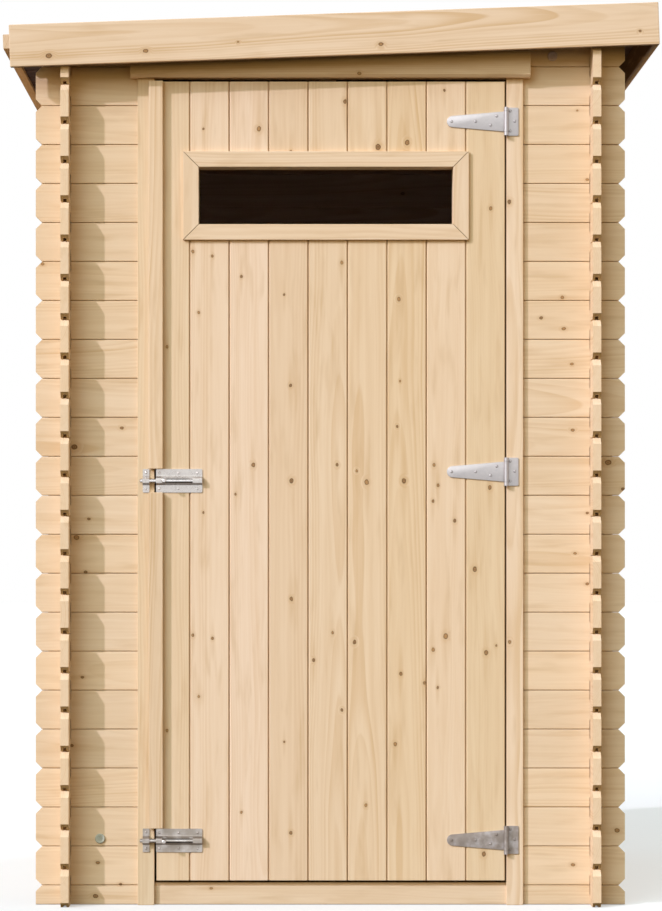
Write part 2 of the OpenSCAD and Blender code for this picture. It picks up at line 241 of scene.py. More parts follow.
# %% Colour and material helpers
def linear(r, g, b):
    """A screen colour from 0 to 255, as the linear colour that a shader wants."""
    def channel(v):
        v /= 255.0
        return v / 12.92 if v <= 0.04045 else ((v + 0.055) / 1.055) ** 2.4
    return (channel(r), channel(g), channel(b), 1.0)


def new_material(name):
    """An empty material, its tree helper and its shader."""
    material = bpy.data.materials.new(name)
    material.use_nodes = True
    material.node_tree.nodes.clear()
    tree = Tree(material.node_tree)
    shader = tree.node("ShaderNodeBsdfPrincipled")
    tree.node("ShaderNodeOutputMaterial", {"Surface": shader.outputs[0]})
    return material, tree, shader


print("mid grey is", round(linear(128, 128, 128)[0], 3), "linear")

# %% [markdown]
# ## Pine: rings
#
# Planed pine is a stack of growth rings cut lengthwise. The rings are cylinders round the tree's
# pith, so the finish works out how far each point is from a pith line that runs slightly askew to
# the board. That gives straight lines at the edges and long arches in the middle, as on real boards.
# Each board carries three random numbers, so its pith lies elsewhere and its rings differ in strength.

# %% Growth rings
RING = 4.4 * MM
PITH_DEPTH, PITH_ASIDE, ASKEW = (0.080, 0.024), (0.090, -0.045), (0.050, -0.025)  # a span and its start
WANDER_DEPTH, WANDER_ASIDE, WANDER_COUNT = 0.030, 0.034, 1.3
SWELL = 0.0065


def growth_rings(t, grain, own, far, swell):
    """Late wood from 0 to 1. grain is (along, through, across), own the board's random numbers."""
    x, y, z = t.split(grain)
    r1, r2, r3 = t.split(own)
    drift = t.vector("ADD", t.vector("MULTIPLY", grain, (1.5, 5.0, 5.0)), far)
    wander = t.node("ShaderNodeTexNoise", {"Vector": drift, "Scale": 1.0, "Detail": 1.5}).outputs["Color"]
    wander_y, wander_z, wander_r = t.split(wander)
    pith_y = t.math("MULTIPLY_ADD", r1, *PITH_DEPTH)
    pith_y = t.math("MULTIPLY_ADD", x, t.math("MULTIPLY_ADD", r3, *ASKEW), pith_y)
    pith_y = t.math("MULTIPLY_ADD", wander_y, WANDER_DEPTH, pith_y)
    pith_z = t.math("MULTIPLY_ADD", r2, *PITH_ASIDE)
    pith_z = t.math("MULTIPLY_ADD", wander_z, WANDER_ASIDE, pith_z)
    from_pith = t.join(0.0, t.math("ADD", y, pith_y), t.math("SUBTRACT", z, pith_z))
    distance = t.math("MULTIPLY_ADD", swell, SWELL, t.vector("LENGTH", from_pith))
    count = t.math("MULTIPLY_ADD", wander_r, WANDER_COUNT, t.math("DIVIDE", distance, RING))
    phase = t.math("FRACT", count)
    late = t.math("MULTIPLY", t.ramp(phase, 0.10, 0.85), t.ramp(phase, 1.0, 0.90))
    year = t.noise(count, 0.37, 2.0, dimensions="1D")
    return t.math("MULTIPLY", late, t.ramp(year, 0.32, 0.72))


print("one ring is", RING / MM, "mm wide on average")

# %% [markdown]
# ## Pine: knots
#
# A knot is the foot of a branch: a dark oval with the grain bent round it. Each board carries the
# places and sizes of up to eight knots as attributes, so they can be put where they belong. The finish
# needs only the nearest one: how many of its radii away a point lies. The grain closes round a knot in
# a long flame, so a second distance is measured that counts little along the board.

# %% Nearest knot
KNOT_SLOTS = 8
NO_KNOT_NEAR = 50.0
RAGGED = (3.0 * MM, -1.5 * MM)  # a span and its start, like those of the pith
AS_ROUND, AS_FLAME = (0.78, 1.0, 0.0), (0.10, 1.0, 0.0)  # what counts along the board and across it


def nearest_knot(t, grain, far):
    """How far the nearest knot is, in that knot's radii: as a round, and as a flame along the grain."""
    along, _, across = t.split(grain)
    here = t.join(along, across, 0.0)
    ragged = t.noise(t.vector("ADD", grain, far), 150.0, 2.0)
    ragged = t.math("MULTIPLY_ADD", ragged, *RAGGED)
    nearest, flame = NO_KNOT_NEAR, NO_KNOT_NEAR
    for number in range(KNOT_SLOTS):
        knot = t.node("ShaderNodeAttribute", attribute_name=f"knot_{number}").outputs["Vector"]
        radius = t.split(knot)[2]
        offset = t.vector("SUBTRACT", here, knot)
        away = t.vector("LENGTH", t.vector("MULTIPLY", offset, AS_ROUND))
        nearest = t.math("MINIMUM", nearest, t.math("DIVIDE", t.math("ADD", away, ragged), radius))
        away = t.vector("LENGTH", t.vector("MULTIPLY", offset, AS_FLAME))
        flame = t.math("MINIMUM", flame, t.math("DIVIDE", away, radius))
    return nearest, flame


print("a board has room for", KNOT_SLOTS, "knots")

# %% [markdown]
# ## Pine: zones of a knot
#
# From the distances come the parts that a knot shows: its round heart, a dark rim where the bark was,
# a ruddy halo round it, and the flame that the halo stretches into along the grain. Each is 1 where
# it is strongest and fades to 0. The distances are in radii, so small knots get small rims.

# %% Knot zones
def knot_zones(t, near, flame):
    """The heart, rim, halo and flame of the nearest knot, and the paler ring inside the heart."""
    heart = t.ramp(near, 1.12, 0.85)
    rim = t.ramp(t.math("ABSOLUTE", t.math("SUBTRACT", near, 0.95)), 0.34, 0.0)
    ring = t.ramp(t.math("ABSOLUTE", t.math("SUBTRACT", near, 0.50)), 0.24, 0.06)
    return heart, rim, t.ramp(near, 3.6, 0.9), t.ramp(flame, 2.6, 0.6), ring


print("a knot has a heart, a rim, a halo, a flame and a ring")

# %% [markdown]
# ## Pine: fibres, streaks and clouds
#
# Between the rings, wood is uneven at every size: fibres as fine as hair, streaks, long bands, slow
# clouds and a few stains. Each is a noise whose coordinates are stretched across the board, so that
# its pattern is drawn out with the grain. A slow sway bends most of them, as real fibres bend.

# %% Wood texture
def drawn_out(t, at, stretch, far):
    """Coordinates for a pattern along the grain. far moves each board to its own part of the noise."""
    return t.vector("ADD", t.vector("MULTIPLY", at, stretch), far)


def wood_texture(t, grain, far):
    """Fibres, streaks, bands, clouds and stains, each from 0 to 1."""
    sway = t.noise(drawn_out(t, grain, (5.0, 22.0, 22.0), far), 1.0, 1.5)
    sway = t.math("MULTIPLY_ADD", sway, 0.016, -0.008)
    swayed = t.vector("ADD", grain, t.join(0.0, sway, sway))
    fibres = t.noise(drawn_out(t, swayed, (13.0, 850.0, 850.0), far), 1.0, 3.0, 0.6)
    streaks = t.noise(drawn_out(t, swayed, (2.4, 60.0, 60.0), far), 1.0, 2.0)
    bands = t.noise(drawn_out(t, swayed, (0.9, 150.0, 150.0), far), 1.0, 1.0)
    clouds = t.noise(drawn_out(t, grain, (4.0, 16.0, 16.0), far), 1.0, 2.0)
    farther = t.vector("SCALE", far, scale=1.7)
    stains = t.noise(drawn_out(t, swayed, (6.0, 45.0, 45.0), farther), 1.0, 2.5, 0.55)
    return fibres, streaks, bands, clouds, t.ramp(stains, 0.52, 0.78)


print("wood texture: fibres, streaks, bands, clouds and stains")

# %% [markdown]
# ## Pine: colours of its marks
#
# Marks are laid over the plain wood one by one, each with a colour and a strength: stains, then the
# knots from the outside in, then the sawn faces. Some knots have a pale heart and some a dark one.
# The sawn ends are paler than the sides. Faces sawn at an angle that look down, like the lower
# corners of the log ends, are painted browner and darker: painted shade.

# %% Colours of marks
STAIN_COLOUR, FLAME_COLOUR, HALO_COLOUR = linear(206, 172, 130), linear(208, 172, 128), linear(204, 164, 118)
PALE_HEART, DARK_HEART = linear(170, 126, 78), linear(92, 62, 34)
RING_COLOUR, RIM_COLOUR = linear(186, 144, 100), linear(94, 62, 34)
# The second colour is painted shade, for sawn faces that look down.
SAWN_END, SHADE_BELOW_COLOUR = linear(246, 216, 182), linear(176, 140, 78)


def laid_over(t, wood, layers):
    """Lays (zone, strength, colour) layers over the wood, in their order."""
    for zone, strength, colour in layers:
        wood = t.mix(t.math("MULTIPLY", zone, strength), wood, colour)
    return wood


# Painted shade: a mask for sawn faces that look down.
def shaded_sawn_undersides(t, cut):
    """1 on faces sawn at an angle that look down. cut is 0 on a board's sides and 1 on its ends."""
    sawn = t.math("SUBTRACT", 1.0, t.math("ABSOLUTE", t.math("MULTIPLY_ADD", cut, 2.0, -1.0)), clamp=True)
    facing_up = t.split(t.node("ShaderNodeNewGeometry").outputs["Normal"])[2]
    return t.math("MULTIPLY", sawn, t.ramp(facing_up, 0.2, -0.6))


print("a knot's rim is", [round(share, 3) for share in RIM_COLOUR[:3]], "linear")

# %% [markdown]
# ## Pine: the whole finish
#
# Rings and texture choose between a spring colour and a summer colour, all at low contrast, because
# fresh planed pine is pale and even. The board's own tone and the marks go on top. The same values
# drive a fine bump and the roughness.

# %% Pine finish
APART = 37.0


def pine(name, early, late, contrast):
    """Planed pine. early and late are the colours of spring and summer growth."""
    material, t, shader = new_material(name)
    grain, own = [t.node("ShaderNodeAttribute", attribute_name=word).outputs["Vector"]
                  for word in ("grain", "board")]
    tone = t.node("ShaderNodeAttribute", attribute_name="tone").outputs["Color"]
    cut = t.node("ShaderNodeAttribute", attribute_name="cut").outputs["Fac"]
    far = t.vector("SCALE", own, scale=APART)
    near, flame = nearest_knot(t, grain, far)
    heart, rim, halo, flame, ring = knot_zones(t, near, flame)
    rings = growth_rings(t, grain, own, far, halo)
    fibres, streaks, bands, clouds, stains = wood_texture(t, grain, far)

    strength = t.math("MULTIPLY_ADD", t.split(own)[2], contrast, 0.35 * contrast)
    amount = t.math("MULTIPLY", rings, strength)
    for layer, share in ((fibres, 0.24), (streaks, 0.50), (bands, 0.42), (clouds, 0.24)):
        amount = t.math("MULTIPLY_ADD", t.math("SUBTRACT", layer, 0.5), share, amount)
    wood = t.mix(t.math("ADD", amount, 0.12, clamp=True), early, late)
    wood = t.mix(1.0, wood, tone, "MULTIPLY")
    kind = t.ramp(t.noise(t.vector("ADD", grain, far), 9.0, 0.0), 0.35, 0.65)
    # The last layer is painted shade on sawn faces that look down.
    wood = laid_over(t, wood, (
        (stains, 0.42, STAIN_COLOUR), (flame, t.math("MULTIPLY", streaks, 0.55), FLAME_COLOUR),
        (halo, 0.32, HALO_COLOUR), (heart, 0.80, t.mix(kind, PALE_HEART, DARK_HEART)),
        (ring, 0.60, RING_COLOUR), (rim, 0.72, RIM_COLOUR),
        (cut, 0.35, SAWN_END), (shaded_sawn_undersides(t, cut), 0.62, SHADE_BELOW_COLOUR)))

    relief = t.math("MULTIPLY_ADD", rings, 0.5, t.math("MULTIPLY", fibres, 0.7))
    relief = t.math("MULTIPLY_ADD", rim, -0.8, relief)
    t.put(shader.inputs["Normal"], t.bump(relief, strength=0.3, distance=0.0004))
    t.put(shader.inputs["Base Color"], wood)
    rough = t.math("MULTIPLY_ADD", fibres, 0.16, 0.66)
    t.put(shader.inputs["Roughness"], t.math("MULTIPLY_ADD", heart, -0.14, rough))
    shader.inputs["Specular IOR Level"].default_value = 0.03
    return material


PINES = {
    "pine_boards": pine("pine_boards", linear(237, 212, 182), linear(215, 180, 137), 0.46),
    "pine_trim": pine("pine_trim", linear(238, 211, 180), linear(215, 178, 132), 0.66),
    "pine_rough": pine("pine_rough", linear(224, 190, 148), linear(190, 148, 102), 0.7),
}
print("pine finishes:", sorted(PINES))

# %% [markdown]
# ## Zinc
#
# The hinges and bolts are steel with a thin zinc coat. Zinc freezes in flat crystals, so its tone
# and gloss change a little from patch to patch. Fine scratches and dust make it duller, most of all
# near the ground, where rain splashes; there it is also painted darker in patches: dust, and painted
# shade. Faces that look down are painted darker, as shade, and the Geometry node's Normal says which
# ones those are. A bolt's rod is paler and glossier, and its flanks, which look up and down, are
# painted darker: painted shade.

# %% Zinc finish
# Colours of painted shade on faces that look down, of dust and painted shade near the ground, and of painted
# shade on a rod's flanks.
UNDERSIDE_SHADE, LOW_DUST_AND_SHADE, FLANK_SHADE = linear(104, 96, 90), linear(126, 112, 96), linear(92, 84, 80)


def zinc(name, dark, light, gloss, flank_shade=0.0):
    """Zinc between two tones. gloss is its least roughness, flank_shade how much shade is painted on its
    flanks.
    """
    material, t, shader = new_material(name)
    at = t.place()
    height = t.split(at)[2]
    facing_up = t.split(t.node("ShaderNodeNewGeometry").outputs["Normal"])[2]
    spangle = t.split(t.cells(at, 260.0))[0]
    mottle = t.noise(at, 90.0, 4.0, 0.6)
    scratch = t.noise(t.vector("MULTIPLY", at, (300.0, 300.0, 1800.0)), 1.0, 2.0)
    # Near the ground, in patches, the colour is darkened: dust, and painted shade.
    low_dust_and_shade = t.math("MULTIPLY", t.ramp(height, 0.75, 0.10), t.ramp(t.noise(at, 45.0, 3.0), 0.15, 0.65))
    # Painted shade: faces that look down are darkened.
    underside_shade = t.ramp(facing_up, -0.15, -0.80)
    tone = t.math("MULTIPLY_ADD", spangle, 0.25, t.math("MULTIPLY", mottle, 0.75))
    metal = t.mix(tone, dark, light)
    metal = t.mix(t.math("MULTIPLY", underside_shade, 0.75), metal, UNDERSIDE_SHADE)
    metal = t.mix(t.math("MULTIPLY", low_dust_and_shade, 0.7), metal, LOW_DUST_AND_SHADE)
    # Painted shade on the flanks, which look up and down.
    flank_shade_mask = t.ramp(t.math("ABSOLUTE", facing_up), 0.45, 0.90)
    metal = t.mix(t.math("MULTIPLY", flank_shade_mask, flank_shade), metal, FLANK_SHADE)
    t.put(shader.inputs["Base Color"], metal)
    rough = t.math("MULTIPLY_ADD", mottle, 0.16, gloss)
    rough = t.math("MULTIPLY_ADD", scratch, 0.08, rough)
    t.put(shader.inputs["Roughness"], t.math("MULTIPLY_ADD", low_dust_and_shade, 0.22, rough))
    relief = t.math("MULTIPLY_ADD", scratch, 0.5, mottle)
    t.put(shader.inputs["Normal"], t.bump(relief, strength=0.10, distance=0.0003))
    shader.inputs["Metallic"].default_value = 1.0
    return material


ZINC = zinc("zinc", linear(170, 164, 163), linear(188, 180, 177), 0.40)
BRIGHT_ZINC = zinc("bright_zinc", linear(192, 184, 180), linear(218, 210, 204), 0.16)
# The rods get painted shade on their flanks.
ROD_ZINC = zinc("rod_zinc", linear(216, 210, 208), linear(238, 232, 230), 0.10, flank_shade=0.8)
print("finishes:", ZINC.name, BRIGHT_ZINC.name, ROD_ZINC.name, len(ZINC.node_tree.nodes), "nodes each")

# %% [markdown]
# ## Vent plastic
#
# The two small vents are moulded plastic, the lower one blue-grey and the upper one brown. Moulded
# plastic has a fine leathery skin, and outdoors it fades in soft patches and gathers dust.

# %% Plastic finish
def plastic(name, deep, faded, dusty):
    """Moulded plastic: its deep colour, what the sun fades it to, and its dust."""
    material, t, shader = new_material(name)
    at = t.place()
    patches = t.noise(at, 60.0, 3.0)
    dust = t.ramp(t.noise(at, 350.0, 3.0), 0.45, 0.75)
    skin = t.cells(at, 1500.0, "Distance")
    body = t.mix(patches, deep, faded)
    t.put(shader.inputs["Base Color"], t.mix(t.math("MULTIPLY", dust, 0.35), body, dusty))
    t.put(shader.inputs["Roughness"], t.math("MULTIPLY_ADD", dust, 0.25, 0.45))
    t.put(shader.inputs["Normal"], t.bump(skin, strength=0.15, distance=0.0002))
    return material


VENT_PLASTIC = plastic("vent_plastic", deep=linear(170, 174, 162), faded=linear(190, 192, 178),
                       dusty=linear(190, 180, 158))
BROWN_PLASTIC = plastic("brown_vent_plastic", deep=linear(186, 158, 146), faded=linear(226, 206, 198),
                        dusty=linear(214, 196, 180))
print("finishes:", VENT_PLASTIC.name, BROWN_PLASTIC.name)

# %% [markdown]
# ## Window glass
#
# Clear glass lets light through and mirrors a little. This pane is rubbed with a faint film of
# fingers and dust, which shows as slow smudges of roughness. The shine is turned down on the
# shader's own socket, because an empty white studio would mirror far more than a garden does.

# %% Glass finish
CLEAN_GLASS, SMUDGED_GLASS = (0.72, 0.57, 0.47, 1.0), (0.62, 0.48, 0.38, 1.0)


def glass(name):
    material, t, shader = new_material(name)
    at = t.place()
    smudge = t.ramp(t.noise(t.vector("MULTIPLY", at, (9.0, 9.0, 22.0)), 1.0, 4.0, 0.6), 0.50, 0.80)
    specks = t.ramp(t.cells(at, 160.0, "Distance"), 0.10, 0.02)
    film = t.math("MULTIPLY_ADD", specks, 0.15, t.math("MULTIPLY", smudge, 0.22), clamp=True)
    t.put(shader.inputs["Roughness"], t.math("ADD", film, 0.02))
    t.put(shader.inputs["Base Color"], t.mix(film, CLEAN_GLASS, SMUDGED_GLASS))
    shader.inputs["Transmission Weight"].default_value = 1.0
    shader.inputs["IOR"].default_value = 1.09
    return material


WINDOW_GLASS = glass("window_glass")
print("finish:", WINDOW_GLASS.name)

# %% [markdown]
# ## Roofing felt
#
# Roofing felt is bitumen strewn with mineral grit, which keeps the sun off it. The grit is a field of
# tiny cells, each with its own grey, and the bitumen shows dark between them. Rain leaves paler
# streaks down the slope.

# %% Felt finish
GRIT_SCALE = 620.0
DARK_GRIT, PALE_GRIT = linear(66, 70, 70), linear(118, 122, 118)
BITUMEN, RAIN_STREAK = linear(38, 39, 40), linear(132, 130, 120)


def mineral_felt(name):
    material, t, shader = new_material(name)
    at = t.place()
    grain_tone = t.split(t.cells(at, GRIT_SCALE))[0]
    grain_edge = t.cells(at, GRIT_SCALE, "Distance")
    patch = t.noise(t.vector("MULTIPLY", at, (2.0, 9.0, 9.0)), 1.0, 3.0)
    grit = t.mix(grain_tone, DARK_GRIT, PALE_GRIT)
    grit = t.mix(t.ramp(grain_edge, 0.35, 0.75), grit, BITUMEN)
    grit = t.mix(t.math("MULTIPLY", t.ramp(patch, 0.45, 0.80), 0.35), grit, RAIN_STREAK)
    t.put(shader.inputs["Base Color"], grit)
    t.put(shader.inputs["Roughness"], t.math("MULTIPLY_ADD", grain_tone, 0.15, 0.80))
    t.put(shader.inputs["Normal"], t.bump(grain_edge, strength=-0.6, distance=0.0008))
    shader.inputs["Specular IOR Level"].default_value = 0.3
    return material


FELT = mineral_felt("felt")
print("finish:", FELT.name)

# %% [markdown]
# ## Where the knots are
#
# The knots that face the front are listed, so that the same shed always shows the same ones.
# Each has its place along the board and across it, in metres, and its radius in millimetres. The
# door's boards are listed from the bolts to the hinges, one to a line or two.

# %% Knots on the door
DOOR_KNOTS = (
    (1.23, -0.360, 2.5), (0.385, -0.360, 2.6),
    (1.71, -0.280, 2.0), (1.44, -0.303, 3.0), (1.43, -0.260, 2.4), (1.305, -0.290, 2.6),
    (0.865, -0.280, 2.2), (0.595, -0.303, 2.8), (0.588, -0.260, 2.4), (0.46, -0.290, 2.4),
    (1.71, -0.157, 4.0), (1.385, -0.196, 2.4), (0.97, -0.170, 3.5), (0.905, -0.209, 2.2),
    (0.205, -0.196, 2.2),
    (1.66, -0.087, 2.6), (1.345, -0.102, 2.0), (1.145, -0.088, 3.0), (0.935, -0.086, 4.0),
    (0.675, -0.086, 3.2), (0.36, -0.102, 1.8), (0.16, -0.087, 3.0),
    (1.77, 0.032, 3.5), (1.415, 0.025, 3.0), (0.97, 0.015, 2.8), (0.60, 0.005, 2.6),
    (0.54, -0.037, 2.8), (0.43, 0.025, 2.8),
    (1.67, 0.105, 5.0), (0.957, 0.058, 2.4), (0.932, 0.080, 4.2), (0.58, 0.053, 3.4), (0.22, 0.078, 2.8),
    (1.68, 0.169, 4.2), (1.335, 0.151, 3.4), (1.055, 0.147, 2.6), (1.155, 0.153, 1.8),
    (0.935, 0.162, 4.2), (0.51, 0.155, 3.2), (0.49, 0.207, 2.6), (0.355, 0.143, 3.4),
    (1.795, 0.251, 2.2), (0.97, 0.228, 3.0), (0.925, 0.237, 2.6), (0.89, 0.226, 2.6),
    (0.847, 0.274, 3.0), (0.593, 0.254, 4.5), (0.563, 0.226, 3.0), (0.48, 0.236, 2.4),
    (1.535, 0.353, 3.0), (0.92, 0.351, 3.6), (0.74, 0.318, 4.0), (0.557, 0.343, 4.0),
    (0.572, 0.365, 2.0), (0.113, 0.338, 4.0),
)
print(len(DOOR_KNOTS), "knots on the door")

# %% [markdown]
# ## Knots on the walls and the roof's edge
#
# On the front wall the boards lie level, so the first number is how far to the right a knot is and
# the second how high. The fascia's knots are measured in the tilted frame of the roof, and two of
# them are large.

# %% Knots on the front wall and the fascia
FRONT_KNOTS = (
    (-0.635, 1.414, 3.0), (-0.46, 1.052, 3.0), (-0.565, 1.01, 5.0), (-0.533, 0.851, 2.6),
    (-0.56, 0.81, 4.5), (-0.54, 0.734, 3.0), (-0.547, 0.502, 2.4), (-0.57, 0.351, 3.0),
    (-0.513, 0.093, 3.0), (-0.518, 0.019, 4.0), (-0.463, 0.045, 2.6), (-0.263, 0.036, 2.4),
    (0.063, 1.83, 3.0),
    (0.545, 1.752, 2.0), (0.567, 1.60, 2.4), (0.512, 1.34, 3.0), (0.465, 1.295, 2.8),
    (0.515, 1.271, 3.2), (0.533, 1.193, 2.6), (0.535, 1.047, 3.0), (0.613, 0.976, 5.0),
    (0.646, 0.917, 3.0), (0.567, 0.864, 2.4), (0.54, 0.775, 2.4), (0.567, 0.708, 2.8),
    (0.633, 0.164, 4.0), (0.535, 0.088, 3.0),
)
JAMB_KNOTS = ((1.55, 0.394, 3.5), (0.58, 0.395, 3.0))
FASCIA_KNOTS = ((-0.617, -0.030, 5.0), (-0.405, -0.027, 4.0), (-0.203, -0.014, 2.0), (0.108, -0.030, 4.0),
                (0.674, -0.021, 2.4))
print(len(FRONT_KNOTS), "knots on the front wall,", len(FASCIA_KNOTS), "on the fascia")

# %% [markdown]
# ## Tones of the door's boards
#
# No two boards have quite the same colour, and the eye notices it most on the door. These are the
# shares of red, green and blue for each board, again from the bolts to the hinges.

# %% Door tones
DOOR_TONES = (
    (1.00, 1.00, 0.99), (1.045, 1.045, 1.095), (1.06, 1.06, 1.135), (0.98, 0.96, 0.96), (1.00, 0.995, 1.00),
    (1.00, 0.99, 0.975), (0.985, 0.967, 0.917), (1.025, 1.017, 1.033), (0.97, 0.96, 0.905),
)
print(len(DOOR_TONES), "tones for the door")

# %% [markdown]
# ## Which way the grain runs
#
# A finish made of growth rings has to know which way each board runs. This helper looks at the
# finished mesh, finds every loose piece in it, and writes each piece's own coordinates: along the
# fibres, through the thickness and across the width. Boards that lie in one course get the same
# random numbers, so the grain runs on past a window that was cut out of it.

# %% Loose pieces
def loose_pieces(mesh):
    """A number for each vertex that says which loose piece it belongs to."""
    group = np.arange(len(mesh.vertices))
    edges = np.zeros(len(mesh.edges) * 2, np.int64)
    mesh.edges.foreach_get("vertices", edges)
    edges = edges.reshape(-1, 2)
    while True:
        low = np.minimum(group[edges[:, 0]], group[edges[:, 1]])
        before = group.copy()
        np.minimum.at(group, edges[:, 0], low)
        np.minimum.at(group, edges[:, 1], low)
        group = group[group]
        if np.array_equal(before, group):
            return group


def read_vectors(layer, name, count):
    """A property of count vertices or faces, as an array with three columns."""
    values = np.zeros(count * 3)
    layer.foreach_get(name, values)
    return values.reshape(-1, 3)


print("loose pieces are found by passing the lowest number along every edge")

# %% [markdown]
# ## Knots for each board
#
# The boards that face the front have their knots listed, in metres. Every other board draws
# a few at random, always the same ones, because the draw starts from the board's own place.

# %% Knots of one board
NO_KNOT = (0.0, 9.0, 0.001)
RADII_DRAWN = (1.6, 2.4, 3.4, 5.5)
PAST_END, PAST_EDGE = 0.020, 0.004
KEPT_IN = 0.75


def knots_of(draw, low, high, listed, middle_wide, wild):
    """Up to eight (along, across, radius). low and high are the board's (along, across) limits.
    wild is how many knots a metre are drawn at random."""
    found = [(a, w - middle_wide, r * MM) for a, w, r in listed
             if low[0] - PAST_END < a < high[0] + PAST_END and low[1] - PAST_EDGE < w < high[1] + PAST_EDGE]
    if wild:
        expected = wild * (high[0] - low[0])
        half = (high[1] - low[1]) / 2
        for _ in range(draw.poisson(expected)):
            along = draw.uniform(low[0], high[0])
            across = draw.uniform(-KEPT_IN, KEPT_IN) * half
            found.append((along, across, draw.choice(RADII_DRAWN) * MM))
    found = found[:KNOT_SLOTS]
    return found + [NO_KNOT] * (KNOT_SLOTS - len(found))


print("example:", knots_of(np.random.default_rng(1), (0, 0), (2, 0.09), [], 0.045, 1.5)[:2])

# %% [markdown]
# ## Stamping the grain
#
# The coordinates go into the mesh as attributes, after every cut has been made, because a cut with
# the exact solver loses them. The attribute `cut` is 1 on faces that look along the fibres, which are
# the sawn ends. The attribute `tone` is the board's own colour: from a list, or drawn at random. The
# draw starts from the board's place, in steps of 4 mm, and the piece's seed. A start must be a whole
# number from zero up, so the steps are counted round a ring of 9973.

# %% Grain stamp
PLACE_STEP, PLACES = 0.004, 9973


def own_tone(draw, middle, tones):
    """A board's red, green and blue shares. middle, from 0 to 1, is its place across the whole."""
    if tones:
        return tones[min(int(middle * len(tones)), len(tones) - 1)]
    light, warm = draw.uniform(0.955, 1.025), draw.uniform(-0.012, 0.012)
    return light * (1 + warm), light, light * (1 - 2 * warm)


def stamp_grain(piece, fibre, seed, flat="y", turn=None, knots=(), wild=0.9, tones=()):
    """Writes grain, board, tone, cut and knots. fibre is the boards' long axis, flat their thin one,
    and turn the tilt that the finished piece already has."""
    mesh = piece.data
    count = len(mesh.vertices)
    co = read_vectors(mesh.vertices, "co", count)
    normals = read_vectors(mesh.polygons, "normal", len(mesh.polygons))
    if turn is not None:
        back = np.array(turn.inverted())
        co = co @ back[:3, :3].T + back[:3, 3]
        normals = normals @ back[:3, :3].T
    along, thin = "xyz".index(fibre), "xyz".index(flat)
    wide = 3 - along - thin
    group = loose_pieces(mesh)
    grain, own, tone = np.zeros_like(co), np.zeros_like(co), np.zeros_like(co)
    edge, reach = co[:, wide].min(), np.ptp(co[:, wide])
    knot_layers = np.zeros((KNOT_SLOTS, count, 3))
    for number in np.unique(group):
        mine = group == number
        low, high = co[mine].min(axis=0), co[mine].max(axis=0)
        middle = (low + high) / 2
        place = [int(round(middle[axis] / PLACE_STEP)) % PLACES for axis in (thin, wide)]
        draw = np.random.default_rng(place + [seed])
        own[mine] = draw.random(3)
        tone[mine] = own_tone(draw, (middle[wide] - edge) / reach, tones)
        limits = (low[along], low[wide]), (high[along], high[wide])
        for slot, knot in enumerate(knots_of(draw, *limits, knots, middle[wide], wild)):
            knot_layers[slot, mine] = knot
        grain[mine, 0] = co[mine, along]
        grain[mine, 1] = co[mine, thin] - middle[thin]
        grain[mine, 2] = co[mine, wide] - middle[wide]
    named = [("grain", grain), ("board", own), ("tone", tone)]
    named += [(f"knot_{slot}", layer) for slot, layer in enumerate(knot_layers)]
    for name, values in named:
        mesh.attributes.new(name, "FLOAT_VECTOR", "POINT").data.foreach_set("vector", values.ravel())
    ends = np.abs(normals[:, along]) ** 2
    mesh.attributes.new("cut", "FLOAT", "FACE").data.foreach_set("value", ends)


print("each piece gets", 4 + KNOT_SLOTS, "attributes")

# %% [markdown]
# ## Meshes and their editing
#
# A mesh starts from lists of points and faces. To change one, bmesh opens a copy for editing, which
# has to be written back. `editing` does both, and `sliced` cuts an open mesh with a plane.

# %% Mesh editing
def new_object(name, vertices, faces):
    mesh = bpy.data.meshes.new(name)
    mesh.from_pydata([tuple(v) for v in vertices], [], faces)
    mesh.update()
    made = bpy.data.objects.new(name, mesh)
    scene.collection.objects.link(made)
    return made


@contextmanager
def editing(made):
    """Opens a piece's mesh for editing, and writes the result back."""
    bm = bmesh.new()
    bm.from_mesh(made.data)
    yield bm
    bm.to_mesh(made.data)
    bm.free()


def sliced(bm, at, normal, cut_off=True):
    """Slices a mesh that is being edited. Returns the edges of the cut, whose far side may go."""
    result = bmesh.ops.bisect_plane(bm, geom=bm.verts[:] + bm.edges[:] + bm.faces[:],
                                    plane_co=at, plane_no=normal, clear_outer=cut_off)
    return [e for e in result["geom_cut"] if isinstance(e, bmesh.types.BMEdge)]


print("mesh editing ready")

# %% [markdown]
# ## From outline to solid
#
# Most pieces of a shed are straight lengths with one cross-section. `length_of` pulls a section
# along an axis. `turned` spins a profile round an axis, as a lathe does, for pins, knobs and caps.
# Both lay a point out by its place s along the axis and its places a and b across it.

# %% Solids
LAY_OUT = {"x": lambda s, a, b: (s, a, b), "y": lambda s, a, b: (a, s, b), "z": lambda s, a, b: (a, b, s)}


def length_of(name, section, start, end, axis="x"):
    """A straight length. section lists (a, b) points: (y, z) for axis x, (x, z) for y, (x, y) for z."""
    n = len(section)
    vertices = [LAY_OUT[axis](s, a, b) for s in (start, end) for a, b in section]
    faces = [tuple(range(n)), tuple(range(2 * n - 1, n - 1, -1))]
    faces += [(i, i + n, (i + 1) % n + n, (i + 1) % n) for i in range(n)]
    made = new_object(name, vertices, faces)
    with editing(made) as bm:
        bmesh.ops.recalc_face_normals(bm, faces=bm.faces)
    return made


def block(name, low, high):
    """A plain block, used to cut with or to shape further."""
    section = [(low[1], low[2]), (high[1], low[2]), (high[1], high[2]), (low[1], high[2])]
    return length_of(name, section, low[0], high[0])


